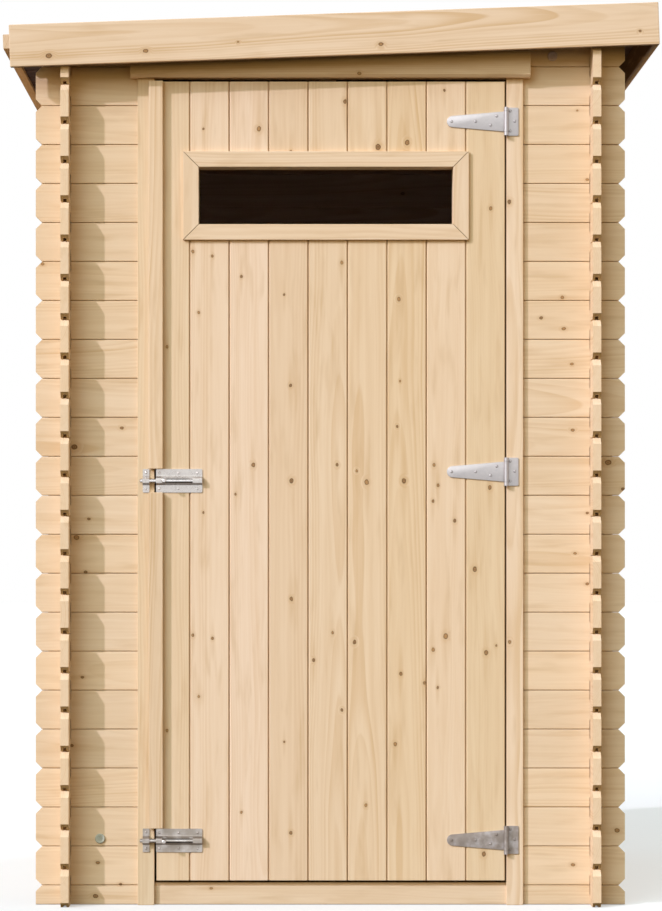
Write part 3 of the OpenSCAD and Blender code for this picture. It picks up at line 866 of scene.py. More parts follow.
def turned(name, profile, centre, axis, sides=24):
    """Spins (along, radius) points round an axis through centre. The ends close at radius 0."""
    n = len(profile)
    vertices, faces = [], []
    for side in range(sides):
        angle = 2 * math.pi * side / sides
        vertices += [LAY_OUT[axis](s, r * math.cos(angle), r * math.sin(angle)) for s, r in profile]
        here, after = side * n, (side + 1) % sides * n
        faces += [(here + i, here + i + 1, after + i + 1, after + i) for i in range(n - 1)]
    made = new_object(name, [Vector(v) + Vector(centre) for v in vertices], faces)
    with editing(made) as bm:
        bmesh.ops.remove_doubles(bm, verts=bm.verts, dist=1e-6)
        bmesh.ops.recalc_face_normals(bm, faces=bm.faces)
    return made


def round_bar(name, start, end, radius, centre, axis, sides=24):
    return turned(name, [(start, 0), (start, radius), (end, radius), (end, 0)], centre, axis, sides)


print("solids: length_of, block, turned and round_bar")

# %% [markdown]
# ## Cutting, joining and easing
#
# A cut is a Boolean with the exact solver. After any modifier the piece is settled: its result
# becomes a plain mesh, and its object goes back to the origin. Easing rounds sharp edges a little, as
# sanding does, so that they catch the light.

# %% Shaping helpers
def settled(made, place=None):
    """Applies a piece's modifiers and its place, and leaves a plain mesh at the origin."""
    bpy.context.view_layer.update()
    graph = bpy.context.evaluated_depsgraph_get()
    mesh = bpy.data.meshes.new_from_object(made.evaluated_get(graph))
    mesh.transform(place if place is not None else made.matrix_world)
    made.modifiers.clear()
    old = made.data
    made.data = mesh
    bpy.data.meshes.remove(old)
    made.matrix_world = Matrix.Identity(4)
    mesh.name = made.name
    return made


def joined(name, pieces):
    """Joins plain meshes into one object, without merging anything."""
    bm = bmesh.new()
    for piece in pieces:
        bm.from_mesh(piece.data)
        bpy.data.objects.remove(piece)
    mesh = bpy.data.meshes.new(name)
    bm.to_mesh(mesh)
    bm.free()
    made = bpy.data.objects.new(name, mesh)
    scene.collection.objects.link(made)
    return made


def combined(made, others, operation):
    """One Boolean between a piece and the others together."""
    other = joined("tool", others)
    modifier = made.modifiers.new("combine", "BOOLEAN")
    modifier.object = other
    modifier.operation = operation
    modifier.solver = "EXACT"
    settled(made)
    bpy.data.objects.remove(other)
    return made


def cut_away(made, cutters):
    """A piece less its cutters, which are used up."""
    return combined(made, cutters, "DIFFERENCE")


def eased(made, width, segments=2, angle=35):
    """Rounds the sharp edges of a piece."""
    modifier = made.modifiers.new("ease", "BEVEL")
    modifier.width = width
    modifier.segments = segments
    modifier.limit_method = "ANGLE"
    modifier.angle_limit = math.radians(angle)
    return settled(made)


def smooth_shaded(made, angle=30):
    """Shades gentle bends smoothly and keeps sharp corners sharp."""
    with editing(made) as bm:
        for face in bm.faces:
            face.smooth = True
        for edge in bm.edges:
            if len(edge.link_faces) != 2 or edge.calc_face_angle(0.0) > math.radians(angle):
                edge.smooth = False
    return made


print("shaping helpers ready")

# %% [markdown]
# ## Handing a piece over
#
# Each finished piece rides on a body of the frame, takes its finish, and stands for the plain frame
# parts that it replaces.

# %% Finish helpers
def finish_piece(piece, body, slot, material, *nodes):
    """Hands over a piece that stands for nodes."""
    piece.data.materials.clear()
    piece.data.materials.append(material)
    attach(piece, body)
    if nodes:
        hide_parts(*nodes)
    print(f"{piece.name}: {len(piece.data.polygons)} faces on {body}")
    return piece


def finish_pine(piece, body, fibre, seed, *nodes, kind="pine_boards", **grain):
    """Stamps the grain of a wooden piece and hands it over."""
    stamp_grain(piece, fibre, seed, **grain)
    return finish_piece(piece, body, kind, PINES[kind], *nodes)


# %% [markdown]
# ## Repeating a piece in a row
#
# Boards and bearers repeat at an even pitch, so Geometry Nodes set them out. One tree does them
# all: it puts copies of its own piece on the points of a line, makes them real geometry, and gives
# them their finish. Its inputs are the count, the step from one to the next, and the finish.

# %% Row tree
def new_tree(name, inputs):
    """A Geometry Nodes tree with named inputs, its helper and its input node."""
    tree = bpy.data.node_groups.new(name, "GeometryNodeTree")
    tree.interface.new_socket("Geometry", in_out="INPUT", socket_type="NodeSocketGeometry")
    tree.interface.new_socket("Geometry", in_out="OUTPUT", socket_type="NodeSocketGeometry")
    for title, kind, default in inputs:
        socket = tree.interface.new_socket(title, in_out="INPUT", socket_type=kind)
        if default is not None:
            socket.default_value = default
    t = Tree(tree)
    return tree, t, t.node("NodeGroupInput").outputs


def end_tree(t, copies, finish):
    """Makes the copies real, gives them their finish and sends them out."""
    real = t.node("GeometryNodeRealizeInstances", {0: copies})
    done = t.node("GeometryNodeSetMaterial", {"Geometry": real.outputs[0], "Material": finish})
    t.node("NodeGroupOutput", {0: done.outputs[0]})


def row_tree():
    """Copies of a piece on the points of a line."""
    tree, t, given = new_tree("row", (("Count", "NodeSocketInt", 2), ("Step", "NodeSocketVector", (0, 0, 1)),
                                      ("Finish", "NodeSocketMaterial", None)))
    line = t.node("GeometryNodeMeshLine", {"Count": given["Count"], "Offset": given["Step"]}, mode="OFFSET")
    copies = t.node("GeometryNodeInstanceOnPoints", {"Points": line.outputs[0],
                                                     "Instance": given["Geometry"]})
    end_tree(t, copies.outputs[0], given["Finish"])
    return tree


ROW = row_tree()
print("row tree:", [n.bl_idname for n in ROW.nodes])

# %% [markdown]
# ## Using a tree
#
# A modifier keeps its inputs under the sockets' identifiers, so this helper looks them up by name
# and sets them before the piece is first evaluated.

# %% Tree users
def with_tree(made, tree, **values):
    """Runs a tree on a piece, with its inputs set by name, and settles it."""
    modifier = made.modifiers.new(tree.name, "NODES")
    modifier.node_group = tree
    by_name = {s.name: s.identifier for s in tree.interface.items_tree
               if s.item_type == "SOCKET" and s.in_out == "INPUT"}
    for name, value in values.items():
        modifier[by_name[name]] = value
    return settled(made)


def row_of(made, count, step, finish=PINES["pine_boards"]):
    """A row of count copies of a piece, each a step from the last."""
    return with_tree(made, ROW, Count=count, Step=step, Finish=finish)


print("inputs:", [s.name for s in ROW.interface.items_tree if s.in_out == "INPUT"])

# %% [markdown]
# ## Screws and nails
#
# A fastener is one small head, repeated on points that are marked on the shed. Every point carries
# the direction that its head looks in, so the tree stands each copy upright on its own surface and
# then spins it by a random angle, because nobody lines up the slots of screws.

# %% Fastener tree
def fastener_tree():
    """A head on every point, upright on its surface and turned at random."""
    tree, t, given = new_tree("fasteners", (
        ("Head", "NodeSocketObject", None), ("Size", "NodeSocketFloat", 1.0),
        ("Seed", "NodeSocketInt", 0), ("Finish", "NodeSocketMaterial", None)))
    head = t.node("GeometryNodeObjectInfo", {"Object": given["Head"]}, transform_space="ORIGINAL")
    facing = t.node("GeometryNodeInputNamedAttribute", {"Name": "facing"}, data_type="FLOAT_VECTOR")
    upright = t.node("FunctionNodeAlignRotationToVector", {"Vector": facing.outputs[0]}, axis="Z")
    spin = t.node("FunctionNodeRandomValue", {2: 0.0, 3: 2 * math.pi, "Seed": given["Seed"]},
                  data_type="FLOAT")
    turn = t.node("FunctionNodeAxisAngleToRotation", {"Axis": (0.0, 0.0, 1.0), "Angle": spin.outputs[1]})
    turned_by = t.node("FunctionNodeRotateRotation", {0: upright.outputs[0], 1: turn.outputs[0]},
                       rotation_space="LOCAL")
    size = t.node("ShaderNodeCombineXYZ", {0: given["Size"], 1: given["Size"], 2: given["Size"]})
    copies = t.node("GeometryNodeInstanceOnPoints", {
        "Points": given["Geometry"], "Instance": head.outputs["Geometry"],
        "Rotation": turned_by.outputs[0], "Scale": size.outputs[0]})
    end_tree(t, copies.outputs[0], given["Finish"])
    return tree


FASTENERS = fastener_tree()
print("fastener tree:", [n.bl_idname for n in FASTENERS.nodes])

# %% [markdown]
# ## The heads
#
# The screw head is a low dome with a cross sunk in it: a turned dome less two small bars. The nail
# head is a flat round with a soft edge. Both are 1 metre across and are scaled down by the tree, so
# one head serves every size. Their rims reach a tenth of that below the surface that they sit on.

# %% Screw and nail heads
SUNK = 0.10
CROSS_BOTTOM, CROSS_BARS = 0.20, ((0.27, 0.055), (0.055, 0.27))


def dome_head(name, height, rings, sides):
    """A head one metre across, with as many rings of faces up its dome."""
    profile = [(-SUNK, 0.0), (-SUNK, 0.5)]
    for step in range(rings + 1):
        lean = math.pi / 2 * step / rings
        profile.append((height * math.sin(lean), 0.5 * math.cos(lean)))
    return turned(name, profile, (0, 0, 0), "z", sides)


screw_head = dome_head("screw_head", height=0.30, rings=4, sides=16)
bars = [block("bar", (-a, -b, CROSS_BOTTOM), (a, b, 0.5)) for a, b in CROSS_BARS]
cross = combined(bars[0], bars[1:], "UNION")
SCREW_HEAD = smooth_shaded(cut_away(screw_head, [cross]), 40)
NAIL_HEAD = smooth_shaded(dome_head("nail_head", height=0.16, rings=2, sides=12), 40)
for head in (SCREW_HEAD, NAIL_HEAD):
    scene.collection.objects.unlink(head)
print("faces:", len(SCREW_HEAD.data.polygons), "in a screw head,", len(NAIL_HEAD.data.polygons), "in a nail")


def fasteners(name, points, facing, size, seed, head=SCREW_HEAD):
    """Heads of one size in metres, on points that all look the same way."""
    made = new_object(name, points, [])
    layer = made.data.attributes.new("facing", "FLOAT_VECTOR", "POINT")
    layer.data.foreach_set("vector", [c for _ in points for c in facing])
    return with_tree(made, FASTENERS, Head=head, Size=size, Seed=seed, Finish=ZINC)


print("heads go on with: fasteners(name, points, facing, size, seed)")

# %% [markdown]
# ## The wall board
#
# A wall board has a tongue along its top edge and a groove along its bottom edge. Its long edges
# are slightly bevelled, so each joint shows as a fine line. The tongue and the groove are given by
# their thickness and their depth, and the tongue gets a little thinner towards its edge.

# %% Board section
COVER = 86 * MM
HALF = COVER / 2
JOINT_GAP = 1.3 * MM
EDGE_BEVEL = 1.2 * MM
TONGUE, TAPER = (6 * MM, 6 * MM), 0.5 * MM
GROOVE = (7.6 * MM, 7 * MM)


def board_section(low, high, thick, groove=True, bevel=EDGE_BEVEL, gap=JOINT_GAP):
    """(thickness, width) points of a board from low to high, its middle at thickness 0."""
    t, b = thick / 2, bevel
    low, high = low + gap / 2, high - gap / 2
    points = [(-t, low + b), (-t + b, low)]
    if groove:
        w, d = GROOVE[0] / 2, GROOVE[1]
        points += [(-w, low), (-w, low + d), (w, low + d), (w, low)]
    w, d = TONGUE[0] / 2, TONGUE[1]
    return points + [(t - b, low), (t, low + b), (t, high - b), (t - b, high),
                     (w, high), (w - TAPER, high + d), (-w + TAPER, high + d), (-w, high),
                     (-t + b, high), (-t, high - b)]


print("board section:", len(board_section(-HALF, HALF, BOARD_T)), "points")

# %% [markdown]
# ## Log ends
#
# Where two walls cross, each board is notched above and below by a quarter of its height, so the two
# fill the corner between them. The corners of every end are cut off at 45 degrees, and the tongue
# stops short of the tip, which leaves the mouth of the groove open as a small dark hole. The cutters
# for one end are the same on every board.

# %% Log end cutters
LOG_CHAMFER = 14 * MM
NOTCH_PLAY = 1.4 * MM
TONGUE_STOP = 27 * MM
REACH, PAST = 12 * MM, 6 * MM  # how far a cutter stands out beyond a board's edge and its tip
FAR = 3.0  # beyond everything, for a cutter that has no end on that side


def log_end_cutters(tip, inward, low, high, bottom, drop):
    """Cutters for the end at tip. inward is +1 or -1, low and high are the board's joint lines.
    drop is how far those joints lie below halfway between the joints of the wall that crosses."""
    cutters = []
    past = tip - inward * PAST
    near = tip + inward * (LOG_RUN - NOTCH_PLAY)
    far = tip + inward * (LOG_RUN + BOARD_T + NOTCH_PLAY)
    for joint, side in ((low, -1), (high, 1)) if bottom else ((high, 1),):
        corner = [(tip + inward * (LOG_CHAMFER + REACH), joint + side * REACH), (past, joint + side * REACH),
                  (past, joint - side * (LOG_CHAMFER + PAST))]
        cutters.append(length_of("corner", corner, -BOARD_T, BOARD_T, "y"))
        z0, z1 = sorted((joint - side * HALF / 2 + drop, joint + side * REACH))
        cutters.append(block("notch", (min(near, far), -BOARD_T, z0), (max(near, far), BOARD_T, z1)))
        if side > 0:
            x0, x1 = sorted((past, tip + inward * TONGUE_STOP))
            cutters.append(block("tongue", (x0, -BOARD_T, joint - 0.1 * MM), (x1, BOARD_T, z1)))
    return cutters


def wall_board(name, x0, x1, low, high, left_end, right_end, bottom=True, drop=0.0):
    """One wall board along x. left_end and right_end say whether that end is a log end, and bottom
    whether the board has its groove and lower notches, which a half board at the ground lacks."""
    board = length_of(name, board_section(low, high, BOARD_T, bottom), x0, x1)
    for tip, inward, wanted in ((x0, 1, left_end), (x1, -1, right_end)):
        if wanted:
            for cutter in log_end_cutters(tip, inward, low, high, bottom, drop):
                cut_away(board, [cutter])
    return board


sample = wall_board("sample", -LOG_TIP, LOG_TIP, -HALF, HALF, True, True)
print("a full board has", len(sample.data.polygons), "faces")
bpy.data.objects.remove(sample)

# %% [markdown]
# ## Under the roof
#
# The top boards are sawn to the slope of the roof. A slicing plane does that and closes the cut.

# %% Roof cut
ROOF_PLACE = Matrix.Translation((0, 0, DECK_MID_Z)) @ Matrix.Rotation(-SLOPE, 4, "Y")


def cut_under_roof(made):
    """A piece without what stands above the underside of the deck."""
    normal = ROOF_PLACE.to_3x3() @ Vector((0, 0, 1))
    with editing(made) as bm:
        rim = sliced(bm, ROOF_PLACE.translation, normal)
        bmesh.ops.triangle_fill(bm, edges=rim, use_beauty=True, normal=normal)
    return made


print("roof plane at", [round(v, 4) for v in ROOF_PLACE.translation])

# %% [markdown]
# ## Front wall
#
# The front wall starts with a half board, so its joints fall about halfway between those of the side
# walls. Beside the door the boards are short and end in the grooves of the jambs. The two top
# courses run across the whole width, and the lower of them is cut out over the door.

# %% Front wall boards
HEAD_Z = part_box("door_lintel")[0][2]
GROOVE_X = -front_hi[0]
FULL_ROWS = int(round((HEAD_Z - HALF) / COVER)) - 1
OVER_DOOR = 2
wall_mid_y = -WALL_Y + BOARD_T / 2


def side_stack(x0, x1, left_end, right_end):
    """The half board and the whole boards between a corner and the door."""
    whole = wall_board("front", x0, x1, -HALF, HALF, left_end, right_end)
    whole.location.z = HALF + COVER / 2
    whole = row_of(settled(whole), FULL_ROWS, (0, 0, COVER))
    return [whole, wall_board("front", x0, x1, 0, HALF, left_end, right_end, bottom=False)]


def across_course(row):
    """A board that runs across the whole front. row counts from the first whole board."""
    board = wall_board("front", -LOG_TIP, LOG_TIP, -HALF, HALF, True, True)
    board.location.z = HALF + (row + 0.5) * COVER
    return settled(board)


def front_wall():
    parts = side_stack(-LOG_TIP, -GROOVE_X, True, False) + side_stack(GROOVE_X, LOG_TIP, False, True)
    door_gap = block("gap", (-GROOVE_X, -0.1, 0), (GROOVE_X, 0.1, HEAD_Z))
    across = [across_course(FULL_ROWS + row) for row in range(OVER_DOOR)]
    wall = joined("front_wall_boards", parts + [cut_away(across[0], [door_gap])] + across[1:])
    wall.location.y = wall_mid_y
    return cut_under_roof(settled(wall))


front_boards = front_wall()
print("front courses:", FULL_ROWS, "beside the door and", OVER_DOOR, "over it")

# %% [markdown]
# ## Holes in the front wall
#
# Each vent sits in a drilled hole. A short round bar, a little thinner than the hole in the frame, is
# cut out of the boards, and the vents' collars hide its edge. A slot at the top takes the purlin.

# %% Vent holes and purlin slots
VENT_HOLE_R = 8.5 * MM
PURLIN_PLAY = 0.5 * MM


def middle_of(node):
    """The middle of a frame part's box."""
    low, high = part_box(node)
    return Vector([(a + b) / 2 for a, b in zip(low, high)])


def purlin_slots():
    """A cutter for the slots in which the purlin lies, at the top of the front and back walls."""
    low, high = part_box("roof_purlin")
    return block("slot", (low[0] - PURLIN_PLAY, -FAR, low[2] - PURLIN_PLAY),
                 (high[0] + PURLIN_PLAY, FAR, high[2] + 1))


def vent_hole(node):
    """A round cutter through the front wall, behind a vent."""
    centre = middle_of(node)
    start, end = -WALL_Y - 0.01, -WALL_Y + BOARD_T + 0.01
    return round_bar("hole", start, end, VENT_HOLE_R, (centre.x, 0, centre.z), "y")


cut_away(front_boards, [vent_hole("lower_vent_cap"), vent_hole("upper_vent_cap"), purlin_slots()])
finish_pine(front_boards, "frame", "x", 11, "front_wall_left", "front_wall_right", "front_wall_header",
            knots=FRONT_KNOTS, wild=0.0)

# %% [markdown]
# ## Sill
#
# The lowest half board of the front runs on under the door as its sill, with its tongue still on.

# %% Sill board
sill_lo, sill_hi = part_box("door_sill")
sill = wall_board("sill_board", sill_lo[0], sill_hi[0], 0, HALF, False, False, bottom=False)
sill.location.y = wall_mid_y
finish_pine(settled(sill), "frame", "x", 12, "door_sill", knots=FRONT_KNOTS, wild=0.0)

# %% [markdown]
# ## Back wall
#
# The back wall is a stack of long boards with the same joints as the front, and no door.

# %% Back wall boards
def back_wall():
    whole = wall_board("back", -LOG_TIP, LOG_TIP, -HALF, HALF, True, True)
    whole.location.z = HALF + COVER / 2
    whole = row_of(settled(whole), FULL_ROWS + OVER_DOOR, (0, 0, COVER))
    half = wall_board("back", -LOG_TIP, LOG_TIP, 0, HALF, True, True, bottom=False)
    wall = joined("back_wall_boards", [whole, half])
    wall.location.y = -wall_mid_y
    return cut_away(cut_under_roof(settled(wall)), [purlin_slots()])


finish_pine(back_wall(), "frame", "x", 13, "back_wall")

# %% [markdown]
# ## Side walls
#
# The side walls start with a whole board, whose groove and lower corners show at the ground. Their
# joints lie a little below the middles of the front boards, so their notches are lopsided by as
# much, the lowest board is planed flat on the ground, and the top one is a little higher, to reach
# the roof. They are made along x like the others, and turned a quarter before they are settled.

# %% Side wall boards
SIDE_DROP = 3.5 * MM


def side_wall(name, middle_x, courses):
    """A wall of courses boards, which stands at middle_x."""
    whole = wall_board(name, -LOG_TIP, LOG_TIP, -HALF, HALF, True, True, drop=SIDE_DROP)
    whole.location.z = HALF - SIDE_DROP
    row = row_of(settled(whole), courses - 1, (0, 0, COVER))
    top = wall_board(name, -LOG_TIP, LOG_TIP, -HALF, HALF + 2 * SIDE_DROP, True, True, drop=SIDE_DROP)
    top.location.z = HALF - SIDE_DROP + (courses - 1) * COVER
    wall = joined(name, [row, settled(top)])
    wall.matrix_world = Matrix.Translation((middle_x, 0, 0)) @ Matrix.Rotation(math.radians(90), 4, "Z")
    ground = block("ground", (-FAR, -FAR, -1), (FAR, FAR, 0))
    return cut_away(cut_under_roof(settled(wall)), [ground])


side_mid_x = WALL_X - BOARD_T / 2
for name, side, seed, courses in (("left_wall", -1, 14, 22), ("right_wall", 1, 15, 23)):
    finish_pine(side_wall(name + "_boards", side * side_mid_x, courses), "frame", "y", seed, name, flat="x")

# %% [markdown]
# ## Jambs
#
# Each jamb is a post with a groove down its outer side, which takes the ends of the wall boards.
# A single section holds the whole shape, and its corners are eased after it is pulled to length. The
# seeds of these two, 180 and 703, were picked for the figure that they give the grain.

# %% Jambs
jamb_lo, jamb_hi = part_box("left_door_jamb")
GROOVE_PLAY = 0.1 * MM


def jamb(name, node, side):
    """The left jamb for side -1, the right one for side 1."""
    low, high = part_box(node)
    x_in, x_out = (high[0], low[0]) if side < 0 else (low[0], high[0])
    groove_in = side * GROOVE_X
    g0, g1 = -WALL_Y - GROOVE_PLAY, -WALL_Y + BOARD_T + GROOVE_PLAY
    section = [(x_in, low[1]), (x_out, low[1]), (x_out, g0), (groove_in, g0),
               (groove_in, g1), (x_out, g1), (x_out, high[1]), (x_in, high[1])]
    return eased(length_of(name, section, low[2], high[2], "z"), 1.2 * MM)


for name, node, side, seed, tone in (
        ("left_jamb_post", "left_door_jamb", -1, 180, (0.94, 0.98, 0.98)),
        ("right_jamb_post", "right_door_jamb", 1, 703, (1.03, 1.06, 1.12))):
    finish_pine(jamb(name, node, side), "frame", "z", seed, node, kind="pine_trim",
                knots=JAMB_KNOTS if side > 0 else (), wild=0.0, tones=[tone])

# %% [markdown]
# ## Lintel
#
# The lintel is a thicker board over the door. A sloping lip along its lower edge throws the rain off.

# %% Lintel
lintel_lo, lintel_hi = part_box("door_lintel")
LIP = (5 * MM, 6 * MM)
lintel_section = [(lintel_hi[1], lintel_lo[2]), (lintel_lo[1] + LIP[0], lintel_lo[2]),
                  (lintel_lo[1], lintel_lo[2] + LIP[1]), (lintel_lo[1], lintel_hi[2]),
                  (lintel_hi[1], lintel_hi[2])]
lintel = eased(length_of("lintel_board", lintel_section, lintel_lo[0], lintel_hi[0]), 0.8 * MM)
finish_pine(lintel, "frame", "x", 23, "door_lintel", kind="pine_trim", knots=FRONT_KNOTS, wild=0.0)

# %% [markdown]
# ## Floor
#
# The floor boards run front to back on three bearers. They show when the door stands open, so they
# get the same joints as the walls, cut to length between them and notched round the jambs. A row of
# whole boards is a little too wide, so `beyond` gives the two cutters that saw it to width.

# %% Floor boards
floor_lo, floor_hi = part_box("floor_boards")
FLOOR_WHOLE = int((floor_hi[0] - floor_lo[0]) / COVER)
NOTCH_CLEAR = 1 * MM


def beyond(axis, low, high):
    """Cutters for all that lies below low and above high. axis is 0 for x and 1 for y."""
    cutters = []
    for start, end in ((high, FAR), (-FAR, low)):
        first, last = [-FAR, -FAR, -1], [FAR, FAR, FAR]
        first[axis], last[axis] = start, end
        cutters.append(block("trim", first, last))
    return cutters


def floor_board_row():
    section = [(w, t) for t, w in board_section(-HALF, HALF, floor_hi[2] - floor_lo[2])]
    board = length_of("floor_deck", section, floor_lo[1], floor_hi[1], "y")
    board.location = (floor_lo[0] + HALF, 0, (floor_lo[2] + floor_hi[2]) / 2)
    floor = row_of(settled(board), FLOOR_WHOLE + 1, (COVER, 0, 0))
    notches = [block("notch", (x0 - NOTCH_CLEAR, -FAR, 0), (x1 + NOTCH_CLEAR, jamb_hi[1] + NOTCH_CLEAR, 1))
               for x0, x1 in ((jamb_lo[0], jamb_hi[0]), (-jamb_hi[0], -jamb_lo[0]))]
    return cut_away(floor, beyond(0, floor_lo[0], floor_hi[0]) + notches)


finish_pine(floor_board_row(), "frame", "y", 31, "floor_boards", flat="z", kind="pine_rough")

# %% [markdown]
# ## Bearers
#
# Three sawn bearers lie on the ground, across under the floor boards. They are one piece, repeated.

# %% Floor bearers
bearer_lo, bearer_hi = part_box("floor_bearers")
BEARERS, BEARER_W = 3, 45 * MM
BEARER_STEP = (bearer_hi[1] - bearer_lo[1] - BEARER_W) / (BEARERS - 1)


def bearer_row():
    bearer = block("bearers", bearer_lo, (bearer_hi[0], bearer_lo[1] + BEARER_W, bearer_hi[2]))
    return row_of(eased(bearer, 1.5 * MM), BEARERS, (0, BEARER_STEP, 0))


finish_pine(bearer_row(), "frame", "x", 32, "floor_bearers", kind="pine_rough")

# %% [markdown]
# ## Nails in the floor
#
# Two nails hold each whole floor board to each bearer. Their places follow from the pitch of the
# boards and of the bearers. None is driven where a board is notched round a jamb.

# %% Floor nails
FLOOR_NAIL = 5 * MM
NAIL_SHARES = (0.22, 0.78)


def by_a_jamb(x, y):
    return y < jamb_hi[1] + 0.03 and abs(abs(x) + jamb_hi[0]) < 0.06


nail_y = [bearer_lo[1] + BEARER_W / 2 + row * BEARER_STEP for row in range(BEARERS)]
nail_x = [floor_lo[0] + (board + share) * COVER for board in range(FLOOR_WHOLE) for share in NAIL_SHARES]
floor_points = [(x, y, floor_hi[2]) for y in nail_y for x in nail_x if not by_a_jamb(x, y)]
floor_nails = fasteners("floor_nails", floor_points, (0, 0, 1), FLOOR_NAIL, 61, NAIL_HEAD)
finish_piece(floor_nails, "frame", "zinc", ZINC)
print(len(floor_points), "nails")

# %% [markdown]
# ## The roof's own frame
#
# The roof is made flat in its own frame and then tilted as a whole. `roof_span` reads how far a part
# of the frame reaches in that tilted frame.

# %% Roof frame
def roof_span(node):
    """The extents of a roof part in the roof's own frame, from the vertices of its frame part."""
    back = ROOF_PLACE.inverted()
    points = np.array([back @ v.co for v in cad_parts[node].data.vertices])
    return points.min(axis=0), points.max(axis=0)


def on_roof(made):
    """Tilts a piece with the roof."""
    return settled(made, ROOF_PLACE)


for node in ("roof_deck", "front_fascia", "left_eaves_batten"):
    low, high = roof_span(node)
    print(node, "in the roof's frame:", low.round(4), high.round(4))

# %% [markdown]
# ## Roof deck
#
# The deck is made of the same kind of boards as the walls. They run up the slope, side by side from
# front to back, and the outermost ones are sawn to width. Nobody planes the underside of a roof, so
# its boards get the rough finish, and they are toned nearly black: painted shade under the roof.

# %% Deck boards
# Painted shade: the deck's boards are toned nearly black.
DECK_SHADE_TONE = (0.08, 0.055, 0.06)
deck_lo, deck_hi = roof_span("roof_deck")


def deck():
    count = int((deck_hi[1] - deck_lo[1]) / COVER) + 1
    section = [(w, t) for t, w in board_section(-HALF, HALF, deck_hi[2] - deck_lo[2])]
    board = length_of("roof_boards", section, deck_lo[0], deck_hi[0])
    board.location = (0, deck_lo[1] + HALF, (deck_lo[2] + deck_hi[2]) / 2)
    boards = row_of(settled(board), count, (0, COVER, 0))
    return on_roof(cut_away(boards, beyond(1, deck_lo[1], deck_hi[1])))


finish_pine(deck(), "frame", "x", 41, "roof_deck", flat="z", kind="pine_rough", turn=ROOF_PLACE,
            tones=[DECK_SHADE_TONE])

# %% [markdown]
# ## Fascias and eaves batten
#
# Fascia boards stand above the felt on three sides and hide the edge of the deck. Along the low side
# a batten lets the rain run off. All four are planed boards with eased edges. The fascias' inner
# sides are darkened as far up as the deck, as painted shade: each board is sliced at that height
# without losing anything, and the tone of the points below, on the inner side, is darkened. The
# batten is toned a little darker and greyer, and the points of its faces that look down get a warm,
# pale tone: painted bounce light. The front fascia's seed, 866, was picked for the figure of its grain.

# %% Fascias and batten
# Painted shade for the fascias' inner sides.
INNER_SHADE_TONE = (0.17, 0.14, 0.14)
# Painted bounce light for the faces that look down.
BOUNCE_TONE = (1.06, 0.98, 0.84)


def roof_board(name, node):
    board = eased(block(name, *roof_span(node)), 1.5 * MM)
    with editing(board) as bm:
        sliced(bm, (0, 0, deck_hi[2]), (0, 0, 1), cut_off=False)
    return on_roof(board)


def shade_inside(board, node, inner):
    """Paints shade on the side that faces the deck. inner is +1 or -1, the way across the board to it."""
    low, high = roof_span(node)
    up_to = deck_hi[2] - (low[2] + high[2]) / 2 + 0.1 * MM
    layers = board.data.attributes
    for grain, tone in zip(layers["grain"].data, layers["tone"].data):
        if grain.vector[1] * inner > 0 and grain.vector[2] < up_to:
            tone.vector = INNER_SHADE_TONE


def bounce_lit_underneath(board):
    """Gives a warm, pale tone, painted bounce light, to the points of the faces that look down."""
    tones = board.data.attributes["tone"].data
    for face in board.data.polygons:
        if face.normal.z < -0.9:
            for point in face.vertices:
                tones[point].vector = BOUNCE_TONE


for name, node, fibre, flat, seed, tones, inner in (
        ("front_fascia_board", "front_fascia", "x", "y", 866, [(0.985, 1.0, 1.045)], 1),
        ("back_fascia_board", "back_fascia", "x", "y", 43, (), -1),
        ("right_fascia_board", "right_fascia", "y", "x", 44, (), -1),
        ("eaves_batten", "left_eaves_batten", "y", "x", 45, [(0.76, 0.78, 0.82)], 0)):
    board = finish_pine(roof_board(name, node), "frame", fibre, seed, node, kind="pine_trim", flat=flat,
                        turn=ROOF_PLACE, knots=FASCIA_KNOTS if node == "front_fascia" else (),
                        wild=0.0 if node == "front_fascia" else 0.9, tones=tones)
    # Painted shade inside each fascia, and painted bounce light under the batten.
    if inner:
        shade_inside(board, node, inner)
    else:
        bounce_lit_underneath(board)

# %% [markdown]
# ## Purlin
#
# A purlin carries the middle of the deck from the front wall to the back. It is made a little too
# high, and sawn to the slope with the same cut as the walls.

# %% Purlin
SAWN_OFF = 10 * MM
purlin_lo, purlin_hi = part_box("roof_purlin")
purlin = block("purlin", purlin_lo, (purlin_hi[0], purlin_hi[1], purlin_hi[2] + SAWN_OFF))
finish_pine(eased(cut_under_roof(purlin), 1.5 * MM), "frame", "y", 46, "roof_purlin",
            kind="pine_rough", flat="x")

# %% [markdown]
# ## Roofing felt
#
# The felt comes off a roll about a metre wide, so two strips cover the roof. The lower one lies along
# the eaves, and the upper one laps over it, so that water always runs from felt to felt. Each strip
# is one section across the roof, pulled from front to back; the upper one steps down off the lower.

# %% Felt strips
felt_lo, felt_hi = roof_span("roof_felt")
FELT_T = 1.15 * MM
ROLL, LAP, DROP = 0.98, 80 * MM, 12 * MM
lap_end = felt_lo[0] + ROLL
bed = felt_lo[2] + 0.05 * MM
on_lap = felt_hi[2] - FELT_T


def felt_strip(name, line):
    """line lists (x, z) points of the strip's underside, from the low side up."""
    section = line + [(x, z + FELT_T) for x, z in reversed(line)]
    return on_roof(length_of(name, section, felt_lo[1], felt_hi[1], "y"))


lower_felt = felt_strip("lower_felt", [(felt_lo[0], bed), (lap_end, bed)])
upper_felt = felt_strip("upper_felt", [
    (lap_end - LAP, on_lap), (lap_end, on_lap), (lap_end + DROP * 0.4, on_lap - 0.25 * MM),
    (lap_end + DROP, bed), (felt_hi[0], bed)])
finish_piece(joined("felt_strips", [lower_felt, upper_felt]), "frame", "felt", FELT, "roof_felt")

# %% [markdown]
# ## Clout nails
#
# Flat clout nails hold the lap and the edges of the felt. Rows of points mark where they go: one on
# the lap, one along the low and the high edge, and along the front and back edges a row on each
# strip. The points are tilted with the roof.

